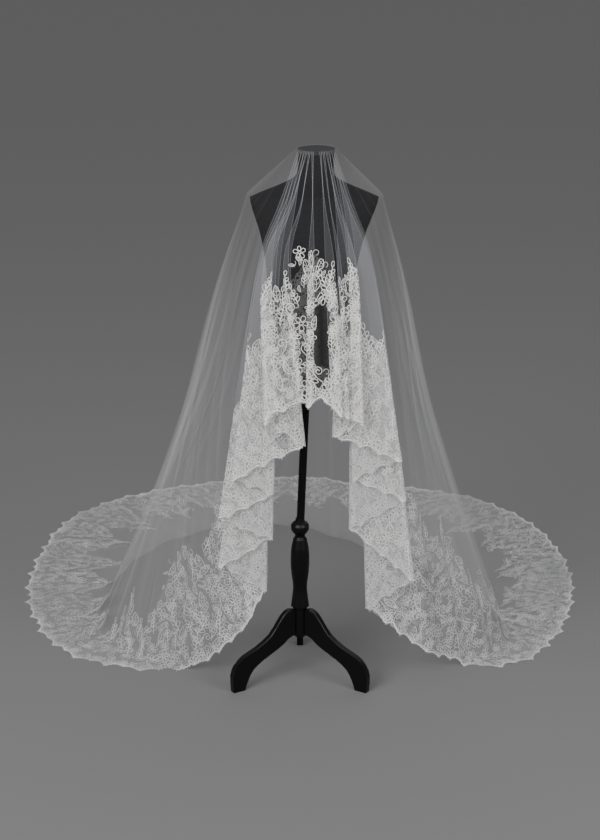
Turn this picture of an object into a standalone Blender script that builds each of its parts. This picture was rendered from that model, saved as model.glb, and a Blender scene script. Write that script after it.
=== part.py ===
"""Bridal veil of tulle with a lace border, draped over a limbless dress form on a turned stand.

The veil is one sheet. It is described by lines that run down the cloth from the rim of the neck cap to the hem, each
with a few named places, and the sheet between neighbouring lines is a wall. Metres, +Z up, the floor at Z = 0. The
lines are written from the stand's axis, and GROUND_SHIFT_Y moves all of it so that the floor plan is centred.
"""

import math

import bmesh
import bpy
import numpy as np

# Sizes of the whole object
GROUND_SHIFT_Y = -0.715  # from the stand's axis to the middle of the floor plan
GAP = 0.0003  # between pieces that meet
TULLE_WALL = 0.0012
FLOOR_Z = TULLE_WALL / 2  # the sheet's reference surface lies at half the wall
SEAM_SHARE = 0.6  # of the gap, drawn in on each side of a seam
MITRE_LEAST = 0.4  # holds back the seam's corners where it turns sharply
LACE_PROUD = 0.0004  # the corded lace stands this much over the tulle

# Dress form and stand
LEAN_FROM_Z = 0.45
LEAN = 0.0393  # sideways run of the form's centre line for each metre of height
CAP_TOP_Z = 1.557
CAP_RADIUS = 0.0495
CAP_DOME = 0.003
CAP_EDGE_Z = 1.545
NECK_RADIUS = 0.048
TORSO_SIDES = 28
POLE_RADIUS = 0.0112
COLLAR_TOP_Z = 0.496
COLLAR_FOOT_Z = 0.440
COLUMN_FOOT_Z = 0.2227
HUB_FOOT_Z = 0.127
HUB_RADIUS = 0.0205
LEG_WIDTH = 0.019
LEG_BEVEL = 0.0022
LEG_FLAT_SHARE = 0.38  # of the width, from the middle to where the bevel starts
LEG_ANGLES_DEG = {"leg_left": 210.0, "leg_right": 330.0, "leg_back": 90.0}

# Torso sections: height, half width, depth to the front, depth to the back
TORSO_FIELDS = ("z", "half_width", "front", "back")
TORSO_SECTIONS = (
    (0.900, 0.104, 0.064, 0.066),
    (0.908, 0.113, 0.072, 0.074),
    (0.970, 0.117, 0.077, 0.083),
    (1.060, 0.115, 0.075, 0.078),
    (1.150, 0.116, 0.078, 0.074),
    (1.225, 0.122, 0.086, 0.078),
    (1.285, 0.132, 0.089, 0.084),
    (1.335, 0.145, 0.078, 0.085),
    (1.375, 0.159, 0.062, 0.078),
    (1.405, 0.169, 0.046, 0.062),
    (1.424, 0.172, 0.030, 0.040),
    (1.438, 0.140, 0.034, 0.040),
    (1.455, 0.098, 0.039, 0.043),
    (1.470, 0.066, 0.044, 0.046),
    (1.482, 0.052, 0.047, 0.048),
    (1.495, NECK_RADIUS, NECK_RADIUS, NECK_RADIUS),
    (CAP_EDGE_Z - GAP, NECK_RADIUS, NECK_RADIUS, NECK_RADIUS),
)
TORSO_SQUARENESS = 2.3  # power of the section's superellipse

# Turned profiles: height and radius, from the top down
COLLAR_PROFILE = (
    (COLLAR_TOP_Z, 0.0125), (0.487, 0.0135), (0.481, 0.0215), (0.474, 0.0258), (0.462, 0.0258),
    (0.454, 0.0215), (0.447, 0.0155), (COLLAR_FOOT_Z, 0.0140),
)
COLUMN_PROFILE = (
    (COLLAR_FOOT_Z - GAP, 0.0140), (0.432, 0.0195), (0.422, 0.0215), (0.405, 0.0250), (0.380, 0.0268),
    (0.350, 0.0268), (0.322, 0.0245), (0.300, 0.0215), (0.287, 0.0203), (0.272, 0.0205), (0.250, 0.0228),
    (0.232, 0.0252), (COLUMN_FOOT_Z, 0.0262),
)
HUB_PROFILE = (
    (COLUMN_FOOT_Z - GAP, 0.0225), (0.216, HUB_RADIUS), (0.136, HUB_RADIUS), (HUB_FOOT_Z, 0.0170),
)
# Leg outline in its own upright plane: distance from the stand's axis, and height
LEG_TOP_EDGE = ((0.0, 0.214), (0.016, 0.2185), (0.034, 0.210), (0.052, 0.188), (0.080, 0.151),
                (0.122, 0.124), (0.168, 0.101), (0.192, 0.081), (0.2055, 0.048), (0.2035, 0.0))
LEG_UNDER_EDGE = ((0.167, 0.0), (0.156, 0.028), (0.139, 0.056), (0.105, 0.080), (0.054, 0.105),
                  (0.024, 0.131), (0.0, 0.139))
LEG_POINTS_PER_SPAN = 2

# The veil on the cap
RIM_RADIUS = 0.0515
RIM_Z = 1.5550
CROWN_SIDES = 48

# Folds of the front and of the two cascades, from the middle outwards, one row for each turn of the cloth. x and z are
# where the turn reaches the hem, depth is how far it hangs behind the foremost place there, chest_x and chest_depth say
# the same at the height of the chest, and lace is how far the border reaches up from the hem.
FOLD_FIELDS = ("name", "x", "z", "depth", "chest_x", "chest_depth", "lace")
FOLDS_LEFT = (
    ("middle_out", 0.016, 0.888, 0.006, 0.022, 0.0045, 0.435),
    ("middle_in", 0.036, 0.900, 0.013, 0.038, 0.0090, 0.410),
    ("narrow_out", -0.005, 0.896, 0.021, -0.042, 0.0135, 0.340),
    ("narrow_in", 0.011, 0.897, 0.028, -0.024, 0.0175, 0.300),
    ("strip_out", -0.098, 0.843, 0.037, -0.092, 0.0215, 0.375),
    ("strip_in", -0.057, 0.858, 0.045, -0.068, 0.0250, 0.400),
    ("tier1_out", -0.098, 0.825, 0.053, -0.091, 0.0285, 0.360),
    ("tier1_in", 0.016, 0.755, 0.065, -0.030, 0.0330, 0.330),
    ("tier2_out", -0.192, 0.651, 0.078, -0.098, 0.0380, 0.400),
    ("tier2_in", -0.072, 0.602, 0.091, -0.050, 0.0425, 0.320),
    ("tier3_out", -0.230, 0.522, 0.104, -0.102, 0.0470, 0.360),
    ("tier3_in", -0.076, 0.457, 0.117, -0.060, 0.0515, 0.300),
    ("tier4_out", -0.232, 0.369, 0.130, -0.105, 0.0560, 0.340),
    ("tier4_in", -0.094, 0.289, 0.143, -0.072, 0.0605, 0.300),
)
FOLDS_RIGHT = (
    ("middle_out", 0.116, 0.862, 0.006, 0.089, 0.0045, 0.380),
    ("middle_in", 0.083, 0.884, 0.013, 0.066, 0.0090, 0.330),
    ("narrow_out", 0.134, 0.852, 0.021, 0.106, 0.0135, 0.340),
    ("narrow_in", 0.122, 0.856, 0.028, 0.096, 0.0175, 0.370),
    ("strip_out", 0.173, 0.832, 0.037, 0.145, 0.0215, 0.440),
    ("strip_in", 0.140, 0.842, 0.045, 0.123, 0.0250, 0.410),
    ("tier1_out", 0.172, 0.822, 0.053, 0.144, 0.0285, 0.380),
    ("tier1_in", 0.087, 0.783, 0.065, 0.100, 0.0330, 0.330),
    ("tier2_out", 0.281, 0.709, 0.078, 0.181, 0.0380, 0.350),
    ("tier2_in", 0.143, 0.646, 0.091, 0.125, 0.0425, 0.310),
    ("tier3_out", 0.297, 0.580, 0.104, 0.185, 0.0470, 0.370),
    ("tier3_in", 0.137, 0.487, 0.117, 0.130, 0.0515, 0.300),
    ("tier4_out", 0.327, 0.326, 0.130, 0.188, 0.0560, 0.350),
    ("tier4_in", 0.188, 0.230, 0.143, 0.146, 0.0605, 0.300),
)
FOREMOST_Y = -0.195  # at the hem
CHEST_Y = -0.136  # at the chest
CHEST_Z = 1.290
FRONT_MIDDLE = {"x": 0.060, "z": 0.915, "chest_x": 0.052, "lace": 0.380}
TURN_ANGLES_DEG = (-90.0, -30.0, 30.0, 90.0)
GATHER_FOLD = 0.14  # share of the chest's folds that shows half way up to the rim
RIM_FOLDS_FROM_DEG = 7.0
RIM_FOLDS_TO_DEG = 72.0
SEAM_FOLD = 6  # the front ends between this turn and the next

# Lines of the sides and the back, one row each, from the left cascade round the back to the right one: the angle on
# the cap's rim, the shoulder line, the middle height, the place where the cloth meets the floor (or its hem in the
# air), the hem on the floor, how deep the soft fold is that the line belongs to, and how far the lace reaches up from
# the hem.
FALL_FIELDS = ("name", "rim_deg", "shoulder", "middle", "foot", "hem", "fold", "lace")
MIDDLE_Z = 0.75
FALLS = (
    ("left_edge", 76, (-0.110, -0.074, 1.305), (-0.165, -0.040),
     (-0.152, -0.044, 0.179), None, 0.004, 0.330),
    ("left_lift", 80, (-0.126, -0.050, 1.362), (-0.222, 0.006),
     (-0.231, -0.012, 0.080), None, 0.008, 0.420),
    ("left_toe", 85, (-0.139, -0.022, 1.410), (-0.272, 0.046),
     (-0.325, 0.034, 0.0), (-0.330, 0.018), 0.010, 0.420),
    ("left_front", 91, (-0.1425, 0.004, 1.432), (-0.312, 0.088),
     (-0.440, 0.105, 0.0), (-0.452, 0.014), 0.012, 0.330),
    ("left_fold", 98, (-0.140, 0.026, 1.428), (-0.333, 0.138),
     (-0.540, 0.185, 0.0), (-0.600, 0.058), 0.012, 0.240),
    ("left_side", 105, (-0.131, 0.046, 1.420), (-0.335, 0.198),
     (-0.602, 0.285, 0.0), (-0.722, 0.142), 0.010, 0.250),
    ("left_hip", 112, (-0.118, 0.064, 1.410), (-0.318, 0.258),
     (-0.622, 0.430, 0.0), (-0.830, 0.330), 0.014, 0.265),
    ("left_behind", 120, (-0.102, 0.078, 1.402), (-0.290, 0.318),
     (-0.610, 0.600, 0.0), (-0.897, 0.600), 0.016, 0.270),
    ("back_1", 129, (-0.083, 0.088, 1.396), (-0.250, 0.370),
     (-0.550, 0.790, 0.0), (-0.893, 0.900), 0.012, 0.270),
    ("back_2", 139, (-0.062, 0.095, 1.392), (-0.200, 0.412),
     (-0.450, 0.950, 0.0), (-0.830, 1.200), 0.016, 0.270),
    ("back_3", 151, (-0.035, 0.101, 1.390), (-0.135, 0.446),
     (-0.310, 1.060, 0.0), (-0.640, 1.420), 0.014, 0.270),
    ("back_4", 164, (0.000, 0.105, 1.390), (-0.060, 0.466),
     (-0.140, 1.115, 0.0), (-0.330, 1.565), 0.010, 0.270),
    ("back_5", 180, (0.043, 0.107, 1.390), (0.035, 0.470),
     (0.030, 1.060, 0.0), (0.000, 1.625), 0.014, 0.270),
    ("back_6", 196, (0.086, 0.105, 1.390), (0.130, 0.456),
     (0.170, 0.940, 0.0), (0.250, 1.540), 0.016, 0.270),
    ("back_7", 209, (0.121, 0.101, 1.390), (0.210, 0.430),
     (0.290, 0.825, 0.0), (0.460, 1.495), 0.012, 0.270),
    ("back_8", 221, (0.148, 0.095, 1.392), (0.275, 0.394),
     (0.400, 0.715, 0.0), (0.660, 1.390), 0.014, 0.270),
    ("back_9", 231, (0.169, 0.088, 1.396), (0.320, 0.350),
     (0.490, 0.600, 0.0), (0.820, 1.170), 0.010, 0.270),
    ("right_behind", 240, (0.188, 0.078, 1.402), (0.353, 0.296),
     (0.560, 0.490, 0.0), (0.896, 0.880), 0.014, 0.270),
    ("right_hip", 248, (0.204, 0.064, 1.410), (0.374, 0.238),
     (0.610, 0.390, 0.0), (0.896, 0.600), 0.012, 0.270),
    ("right_side", 255, (0.215, 0.046, 1.420), (0.380, 0.182),
     (0.632, 0.290, 0.0), (0.832, 0.332), 0.010, 0.260),
    ("right_fold", 262, (0.221, 0.026, 1.426), (0.372, 0.130),
     (0.612, 0.190, 0.0), (0.722, 0.122), 0.014, 0.260),
    ("right_front", 269, (0.2215, 0.004, 1.429), (0.354, 0.085),
     (0.555, 0.112, 0.0), (0.602, 0.040), 0.010, 0.330),
    ("right_toe", 275, (0.216, -0.022, 1.410), (0.329, 0.045),
     (0.480, 0.064, 0.0), (0.484, 0.048), 0.010, 0.420),
    ("right_lift", 280, (0.205, -0.050, 1.362), (0.299, 0.006),
     (0.378, -0.006, 0.071), None, 0.008, 0.420),
    ("right_edge", 284, (0.190, -0.074, 1.305), (0.258, -0.038),
     (0.280, -0.045, 0.155), None, 0.004, 0.330),
)
LINES_PER_FALL = 4  # lines of the wall from one row of FALLS to the next
SIDE_END = 7  # rows of FALLS in a side, where its lace edge comes down to the floor
TRAIN_SPLIT = 3  # rows of FALLS in the left and in the right part of the train

# Lace border
BORDER_PEAK = 0.080  # peaks and valleys of its inner edge lie this far from its depth
PEAK_SPACING = 0.225
SCALLOP_DEPTH = 0.009
CHANGE_OVER = 0.010  # least distance of the lace edge from the floor line
GAP_CELL_SHARE = 0.40  # size of an open gap in the lace, as a share of its cell
GAP_EVERY = 4
FRONT_GAP_START = 4
FRONT_GAP_EVERY = 5

# Rows of the wall down each line, in each of its four stretches
ROWS_TO_SHOULDER = 3
ROWS_TO_FIRST = 3
ROWS_TO_SECOND = 2
ROWS_TO_HEM = 2
NORMAL_PASSES = 2  # rounds of smoothing of the walls' directions above the chest, where turns are tight
TAUT = 0.95  # how straight the tulle is pulled from the rim to the shoulder, fading out below it
PATH_SAMPLES = 24  # points of a line's smooth path between two of its places
LIFTED_SHARE = 0.45  # of the lace, below the second row of a stretch that hangs clear of the floor
LEAST_SHOULDER = 0.040  # from the shoulder row down to the first row of the lace


def remove_all_objects():
    """Empties the scene."""
    for item in list(bpy.data.objects):
        bpy.data.objects.remove(item, do_unlink=True)


def make_material(name, colour, roughness, metallic=0.0, sheen=0.0):
    """A plain Principled material."""
    material = bpy.data.materials.new(name)
    material.use_nodes = True
    shader = material.node_tree.nodes["Principled BSDF"]
    shader.inputs["Base Color"].default_value = (*colour, 1.0)
    shader.inputs["Roughness"].default_value = roughness
    shader.inputs["Metallic"].default_value = metallic
    shader.inputs["Sheen Weight"].default_value = sheen
    return material


def add_object(name, points, faces, material, smooth_deg=35.0):
    """One closed piece from its points, which are written from the stand's axis, and its faces."""
    mesh = bpy.data.meshes.new(name)
    placed = [(p[0], p[1] + GROUND_SHIFT_Y, p[2]) for p in points]
    mesh.from_pydata(placed, [], faces)
    mesh.validate()
    built = bmesh.new()
    built.from_mesh(mesh)
    bmesh.ops.recalc_face_normals(built, faces=built.faces)
    built.to_mesh(mesh)
    built.free()
    mesh.shade_smooth()
    mesh.set_sharp_from_angle(angle=math.radians(smooth_deg))
    mesh.materials.append(material)
    piece = bpy.data.objects.new(name, mesh)
    bpy.context.collection.objects.link(piece)
    return piece


def lean_x(z):
    """Sideways place of the form's centre line at a height."""
    return LEAN * (z - LEAN_FROM_Z)


def loft(rings, closed_ends=True):
    """Points and faces of a tube through rings of equal length, with flat ends."""
    points = [p for ring in rings for p in ring]
    count = len(rings[0])
    faces = []
    for row in range(len(rings) - 1):
        for i in range(count):
            j = (i + 1) % count
            faces.append((row * count + i, row * count + j, (row + 1) * count + j, (row + 1) * count + i))
    if closed_ends:
        faces.append(tuple(reversed(range(count))))
        faces.append(tuple(range((len(rings) - 1) * count, len(rings) * count)))
    return points, faces


def torso_ring(section):
    """One section of the torso, a superellipse with its own depths to the front and the back."""
    row = dict(zip(TORSO_FIELDS, section))
    ring = []
    for i in range(TORSO_SIDES):
        angle = 2.0 * math.pi * i / TORSO_SIDES
        across, along = math.cos(angle), math.sin(angle)
        power = 2.0 / TORSO_SQUARENESS
        x = math.copysign(abs(across) ** power, across) * row["half_width"]
        depth = row["back"] if along > 0 else row["front"]
        y = math.copysign(abs(along) ** power, along) * depth
        ring.append((lean_x(row["z"]) + x, y, row["z"]))
    return ring


def build_torso(material):
    """The padded torso with its neck."""
    points, faces = loft([torso_ring(section) for section in TORSO_SECTIONS])
    return add_object("form_torso", points, faces, material)


def turned(profile, centre=None, sides=24):
    """Points and faces of a turned piece from its height and radius pairs."""
    place = centre or (lambda z: 0.0)
    rings = []
    for z, radius in reversed(profile):
        turn = [2.0 * math.pi * i / sides for i in range(sides)]
        rings.append([(place(z) + radius * math.cos(a), radius * math.sin(a), z) for a in turn])
    return loft(rings)


def build_cap(material):
    """The neck cap, a low dome on the cut neck."""
    profile = ((CAP_TOP_Z, CAP_RADIUS * 0.35), (CAP_TOP_Z - CAP_DOME * 0.4, CAP_RADIUS * 0.75),
               (CAP_TOP_Z - CAP_DOME, CAP_RADIUS), (CAP_EDGE_Z, CAP_RADIUS))
    points, faces = turned(profile, centre=lambda z: lean_x(CAP_TOP_Z), sides=CROWN_SIDES)
    return add_object("neck_cap", points, faces, material)


def build_pole(material):
    """The pole from the height collar up to the torso."""
    top = TORSO_SECTIONS[0][0] - GAP
    profile = ((top, POLE_RADIUS), (COLLAR_TOP_Z + GAP, POLE_RADIUS))
    points, faces = turned(profile, centre=lean_x, sides=20)
    return add_object("pole", points, faces, material)


def smooth_outline(points, spans):
    """Catmull-Rom curve through the points of an open outline."""
    given = np.array(points, dtype=float)
    padded = np.vstack([2 * given[0] - given[1], given, 2 * given[-1] - given[-2]])
    out = []
    for k in range(len(given) - 1):
        a, b, c, d = padded[k:k + 4]
        for step in range(spans):
            t = step / spans
            out.append(0.5 * (2 * b + (c - a) * t + (2 * a - 5 * b + 4 * c - d) * t * t
                              + (3 * b - a - 3 * c + d) * t ** 3))
    out.append(given[-1])
    return out


def build_leg(name, angle_deg, material):
    """One bent leg, cut from a plank, that stands on its flat foot."""
    start = HUB_RADIUS + GAP
    outline = smooth_outline(LEG_TOP_EDGE, LEG_POINTS_PER_SPAN)
    outline += smooth_outline(LEG_UNDER_EDGE, LEG_POINTS_PER_SPAN)
    along = np.array([math.cos(math.radians(angle_deg)), math.sin(math.radians(angle_deg))])
    across = np.array([-along[1], along[0]])
    rings = []
    middle = np.mean(np.array(outline), axis=0)
    for side, inset in ((-0.5, LEG_BEVEL), (-LEG_FLAT_SHARE, 0.0), (LEG_FLAT_SHARE, 0.0), (0.5, LEG_BEVEL)):
        ring = []
        for r, z in outline:
            if z > FLOOR_Z:
                toward = middle - np.array([r, z])
                z = z + math.copysign(min(inset, abs(toward[1])), toward[1])
            plan = along * (start + r) + across * (side * LEG_WIDTH)
            ring.append((plan[0], plan[1], z))
        rings.append(ring)
    points, faces = loft(rings)
    return add_object(name, points, faces, material)


def build_stand(material, pole_material):
    """Pole, height collar, turned column, hub and legs."""
    build_pole(pole_material)
    for name, profile in (("collar", COLLAR_PROFILE), ("column", COLUMN_PROFILE), ("hub", HUB_PROFILE)):
        points, faces = turned(profile)
        add_object(name, points, faces, material)
    for name, angle in LEG_ANGLES_DEG.items():
        build_leg(name, angle, material)


class Line:
    """One line down the cloth: its places from the rim to the foot, its hem on the floor, and its lace."""

    def __init__(self, places, shoulder_at, hem=None, lace=0.0):
        self.places = [np.array(p, dtype=float) for p in places]
        self.shoulder_at = shoulder_at
        self.hem = None if hem is None else np.array(hem, dtype=float)
        self.lace = lace

    def blend(self, other, share):
        """A line between this one and the next, at a share of the way."""
        places = [a * (1 - share) + b * share for a, b in zip(self.places, other.places)]
        hem = None if self.hem is None or other.hem is None else self.hem * (1 - share) + other.hem * share
        return Line(places, self.shoulder_at, hem, self.lace * (1 - share) + other.lace * share)


def rim_place(angle_deg):
    """A place on the cap's rim. The angle is 0 at the front and grows to the left."""
    angle = math.radians(angle_deg)
    x = lean_x(CAP_TOP_Z) - RIM_RADIUS * math.sin(angle)
    return (x, -RIM_RADIUS * math.cos(angle), RIM_Z)


def fold_turn_lines(folds, index, side):
    """The lines round one turn of the front or a cascade."""
    rows = [dict(zip(FOLD_FIELDS, fold)) for fold in folds]
    row = rows[index]
    before = rows[index - 1] if index else {"depth": 0.0, "chest_depth": 0.0}
    after = rows[index + 1] if index + 1 < len(rows) else row
    outward = side if index % 2 == 0 else -side
    share_of_step = 0.5 if after is row else 0.25
    radius = share_of_step * (after["depth"] - before["depth"])
    chest_radius = share_of_step * (after["chest_depth"] - before["chest_depth"])
    step = (RIM_FOLDS_TO_DEG - RIM_FOLDS_FROM_DEG) / len(rows)
    edge = FALLS[0 if side < 0 else -1][FALL_FIELDS.index("shoulder")]
    lines = []
    for k, angle_deg in enumerate(TURN_ANGLES_DEG):
        angle = math.radians(angle_deg)
        back, up = math.sin(angle), 1.0 - math.cos(angle)
        rim_deg = RIM_FOLDS_FROM_DEG + step * (index + 0.25 * (k + 0.5))
        rim = rim_place(-side * rim_deg)
        chest_y = CHEST_Y + row["chest_depth"] + chest_radius * back
        chest = (row["chest_x"] - outward * chest_radius * up, chest_y, CHEST_Z)
        share = (index + 0.25 * (k + 0.5)) / len(rows)
        plain = np.array([FRONT_MIDDLE["chest_x"], CHEST_Y, CHEST_Z]) * (1 - share) + np.array(edge) * share
        gather = 0.5 * (np.array(rim) + plain) + GATHER_FOLD * (np.array(chest) - plain)
        foot = (row["x"] - outward * radius * up, FOREMOST_Y + row["depth"] + radius * back, row["z"])
        lines.append(Line([rim, gather, chest, foot], 2, None, row["lace"]))
    return lines


def front_and_cascade_lines(folds, side):
    """All lines from the middle of the front out to the last turn, and where the seam line is."""
    middle = FRONT_MIDDLE
    lines = []
    seam_at = 0
    for index in range(len(folds)):
        turn = fold_turn_lines(folds, index, side)
        if lines:
            between = lines[-1].blend(turn[0], 0.5)
            lines.append(between)
            if index == SEAM_FOLD + 1:
                seam_at = len(lines) - 1
        lines.extend(turn)
    rim, chest = np.array(rim_place(0.0)), np.array((middle["chest_x"], CHEST_Y, CHEST_Z))
    foot = (middle["x"], FOREMOST_Y, middle["z"])
    start = Line([rim, 0.5 * (rim + chest), chest, foot], 2, None, middle["lace"])
    return start, lines, seam_at


def catmull(a, b, c, d, t):
    """Uniform Catmull-Rom between b and c."""
    return 0.5 * (2 * b + (c - a) * t + (2 * a - 5 * b + 4 * c - d) * t * t + (3 * b - a - 3 * c + d) * t ** 3)


def fall_line(row):
    """The line of one row of FALLS."""
    fall = dict(zip(FALL_FIELDS, row))
    middle = (*fall["middle"], MIDDLE_Z)
    foot = np.array(fall["foot"], dtype=float)
    hem = None
    if fall["hem"] is not None:
        hem = np.array((*fall["hem"], 0.0))
    return Line([rim_place(fall["rim_deg"]), fall["shoulder"], middle, foot], 1, hem, fall["lace"])


def fall_lines():
    """All lines of the sides and the back, smooth between the rows, with the soft folds on them."""
    rows = [fall_line(row) for row in FALLS]
    depths = [row[FALL_FIELDS.index("fold")] for row in FALLS]
    stacks = [np.array([*line.places, line.hem if line.hem is not None else line.places[-1]]) for line in rows]
    lines = []
    for k in range(len(rows) - 1):
        around = [stacks[max(k - 1, 0)], stacks[k], stacks[k + 1], stacks[min(k + 2, len(rows) - 1)]]
        for step in range(LINES_PER_FALL):
            t = step / LINES_PER_FALL
            stack = catmull(*around, t)
            has_hem = rows[k].hem is not None and (rows[k + 1].hem is not None or step == 0)
            depth = depths[k] * (1 - t) + depths[k + 1] * t
            lace = rows[k].lace * (1 - t) + rows[k + 1].lace * t
            lines.append((stack, has_hem, depth * math.cos(2.0 * math.pi * t), lace))
    lines.append((stacks[-1], rows[-1].hem is not None, 0.0, rows[-1].lace))
    out = []
    for i, (stack, has_hem, wave, lace) in enumerate(lines):
        before = lines[max(i - 1, 0)][0]
        after = lines[min(i + 1, len(lines) - 1)][0]
        run = after - before
        outward = np.stack([run[:, 1] * -1.0, run[:, 0], np.zeros(len(run))], axis=1)
        outward /= np.maximum(np.linalg.norm(outward, axis=1, keepdims=True), 1e-9)
        moved = stack.copy()
        moved[2] += outward[2] * wave
        moved[3] += outward[3] * wave * 0.5
        moved[3:, 2] = np.maximum(moved[3:, 2], FLOOR_Z)
        if has_hem:
            moved[3:, 2] = FLOOR_Z
        out.append(Line(list(moved[:4]), 1, moved[4] if has_hem else None, lace))
    return out


def path_of(line, samples=PATH_SAMPLES):
    """Points down a line from the rim to the hem, with the distance of each from the rim."""
    places = np.array(line.places)
    chords = np.concatenate([[0.0], np.cumsum(np.sqrt(np.linalg.norm(np.diff(places, axis=0), axis=1)))])
    padded = np.vstack([2 * places[0] - places[1], places, 2 * places[-1] - places[-2]])
    knots = np.concatenate([[2 * chords[0] - chords[1]], chords, [2 * chords[-1] - chords[-2]]])
    points = []
    marks = [0]
    for k in range(len(places) - 1):
        p, t = padded[k:k + 4], knots[k:k + 4]
        for step in range(samples):
            s = t[1] + (t[2] - t[1]) * step / samples
            a1 = (t[1] - s) / (t[1] - t[0]) * p[0] + (s - t[0]) / (t[1] - t[0]) * p[1]
            a2 = (t[2] - s) / (t[2] - t[1]) * p[1] + (s - t[1]) / (t[2] - t[1]) * p[2]
            a3 = (t[3] - s) / (t[3] - t[2]) * p[2] + (s - t[2]) / (t[3] - t[2]) * p[3]
            b1 = (t[2] - s) / (t[2] - t[0]) * a1 + (s - t[0]) / (t[2] - t[0]) * a2
            b2 = (t[3] - s) / (t[3] - t[1]) * a2 + (s - t[1]) / (t[3] - t[1]) * a3
            smooth = (t[2] - s) / (t[2] - t[1]) * b1 + (s - t[1]) / (t[2] - t[1]) * b2
            share = step / samples
            pull = (TAUT, TAUT * (1 - share) ** 2, 0.0)[k]
            points.append(smooth * (1 - pull) + (places[k] * (1 - share) + places[k + 1] * share) * pull)
        marks.append(len(points))
    points.append(places[-1])
    if line.hem is not None:
        points.append(line.hem)
    points = np.array(points)
    points[:, 2] = np.maximum(points[:, 2], FLOOR_Z)
    run = np.concatenate([[0.0], np.cumsum(np.linalg.norm(np.diff(points, axis=0), axis=1))])
    return points, run, run[marks[line.shoulder_at]], run[marks[-1]]


def place_at(points, run, distance):
    """The place on a path at a distance from the rim."""
    return np.array([np.interp(distance, run, points[:, axis]) for axis in range(3)])


def row_distances(line):
    """The path of a line, and the distances from the rim of all its rows."""
    points, run, shoulder, foot = path_of(line)
    end = run[-1]
    edge = end - line.lace
    if line.hem is None:
        foot = end - LIFTED_SHARE * line.lace
    first, second = min(edge, foot), max(edge, foot)
    if second - first < 2 * CHANGE_OVER:
        middle = 0.5 * (first + second)
        first, second = middle - CHANGE_OVER, middle + CHANGE_OVER
    second = min(second, end - CHANGE_OVER)
    first = min(first, second - CHANGE_OVER)
    shoulder = min(shoulder, first - LEAST_SHOULDER)
    stops = [0.0, shoulder, first, second, end]
    counts = (ROWS_TO_SHOULDER, ROWS_TO_FIRST, ROWS_TO_SECOND, ROWS_TO_HEM)
    rows = [0.0]
    for k, count in enumerate(counts):
        for step in range(1, count + 1):
            rows.append(stops[k] + (stops[k + 1] - stops[k]) * step / count)
    return points, run, rows


def sheet_points(lines):
    """The grid of reference points of the sheet, lines by rows."""
    grid = []
    for line in lines:
        points, run, rows = row_distances(line)
        grid.append([place_at(points, run, distance) for distance in rows])
    return np.array(grid)


def sheet_normals(grid):
    """Outward unit normals at the sheet's reference points."""
    across = np.zeros_like(grid)
    across[1:-1] = unit(grid[2:] - grid[1:-1]) + unit(grid[1:-1] - grid[:-2])
    across[0] = grid[1] - grid[0]
    across[-1] = grid[-1] - grid[-2]
    down = np.zeros_like(grid)
    down[:, 1:-1] = unit(grid[:, 2:] - grid[:, 1:-1]) + unit(grid[:, 1:-1] - grid[:, :-2])
    down[:, 0] = grid[:, 1] - grid[:, 0]
    down[:, -1] = grid[:, -1] - grid[:, -2]
    normals = unit(np.cross(across, down))
    tight = normals[:, :ROWS_TO_SHOULDER]
    for _ in range(NORMAL_PASSES):
        tight[1:-1] = unit(tight[:-2] + 2 * tight[1:-1] + tight[2:])
    return normals


def unit(vectors):
    """Unit vectors."""
    return vectors / np.maximum(np.linalg.norm(vectors, axis=-1, keepdims=True), 1e-12)


def finer_columns(grid, parts):
    """A grid with straight steps between its lines, so that both sides of a seam are the same line."""
    out = [grid[0]]
    for k in range(len(grid) - 1):
        for step in range(1, parts + 1):
            out.append(grid[k] * (1 - step / parts) + grid[k + 1] * step / parts)
    return np.array(out)


def inward_from(edge, inside):
    """Steps from the points of an edge into the patch, that keep its straight stretches at one distance."""
    run = unit(edge[1:] - edge[:-1])
    step = inside - edge
    run_before, run_after = np.vstack([run[:1], run]), np.vstack([run, run[-1:]])
    before = unit(step - run_before * np.sum(step * run_before, axis=1, keepdims=True))
    after = unit(step - run_after * np.sum(step * run_after, axis=1, keepdims=True))
    middle = unit(before + after)
    return middle / np.maximum(np.sum(middle * after, axis=1, keepdims=True), MITRE_LEAST)


def draw_in(points, trim):
    """Moves the sides of a patch inwards by half a gap. trim says which sides: first, last, top, bottom."""
    out = points.copy()
    if trim[0]:
        out[0] += inward_from(points[0], points[1]) * GAP * SEAM_SHARE
    if trim[1]:
        out[-1] += inward_from(points[-1], points[-2]) * GAP * SEAM_SHARE
    if trim[2]:
        out[:, 0] += inward_from(points[:, 0], points[:, 1]) * GAP * SEAM_SHARE
    if trim[3]:
        out[:, -1] += inward_from(points[:, -1], points[:, -2]) * GAP * SEAM_SHARE
    return out


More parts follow.
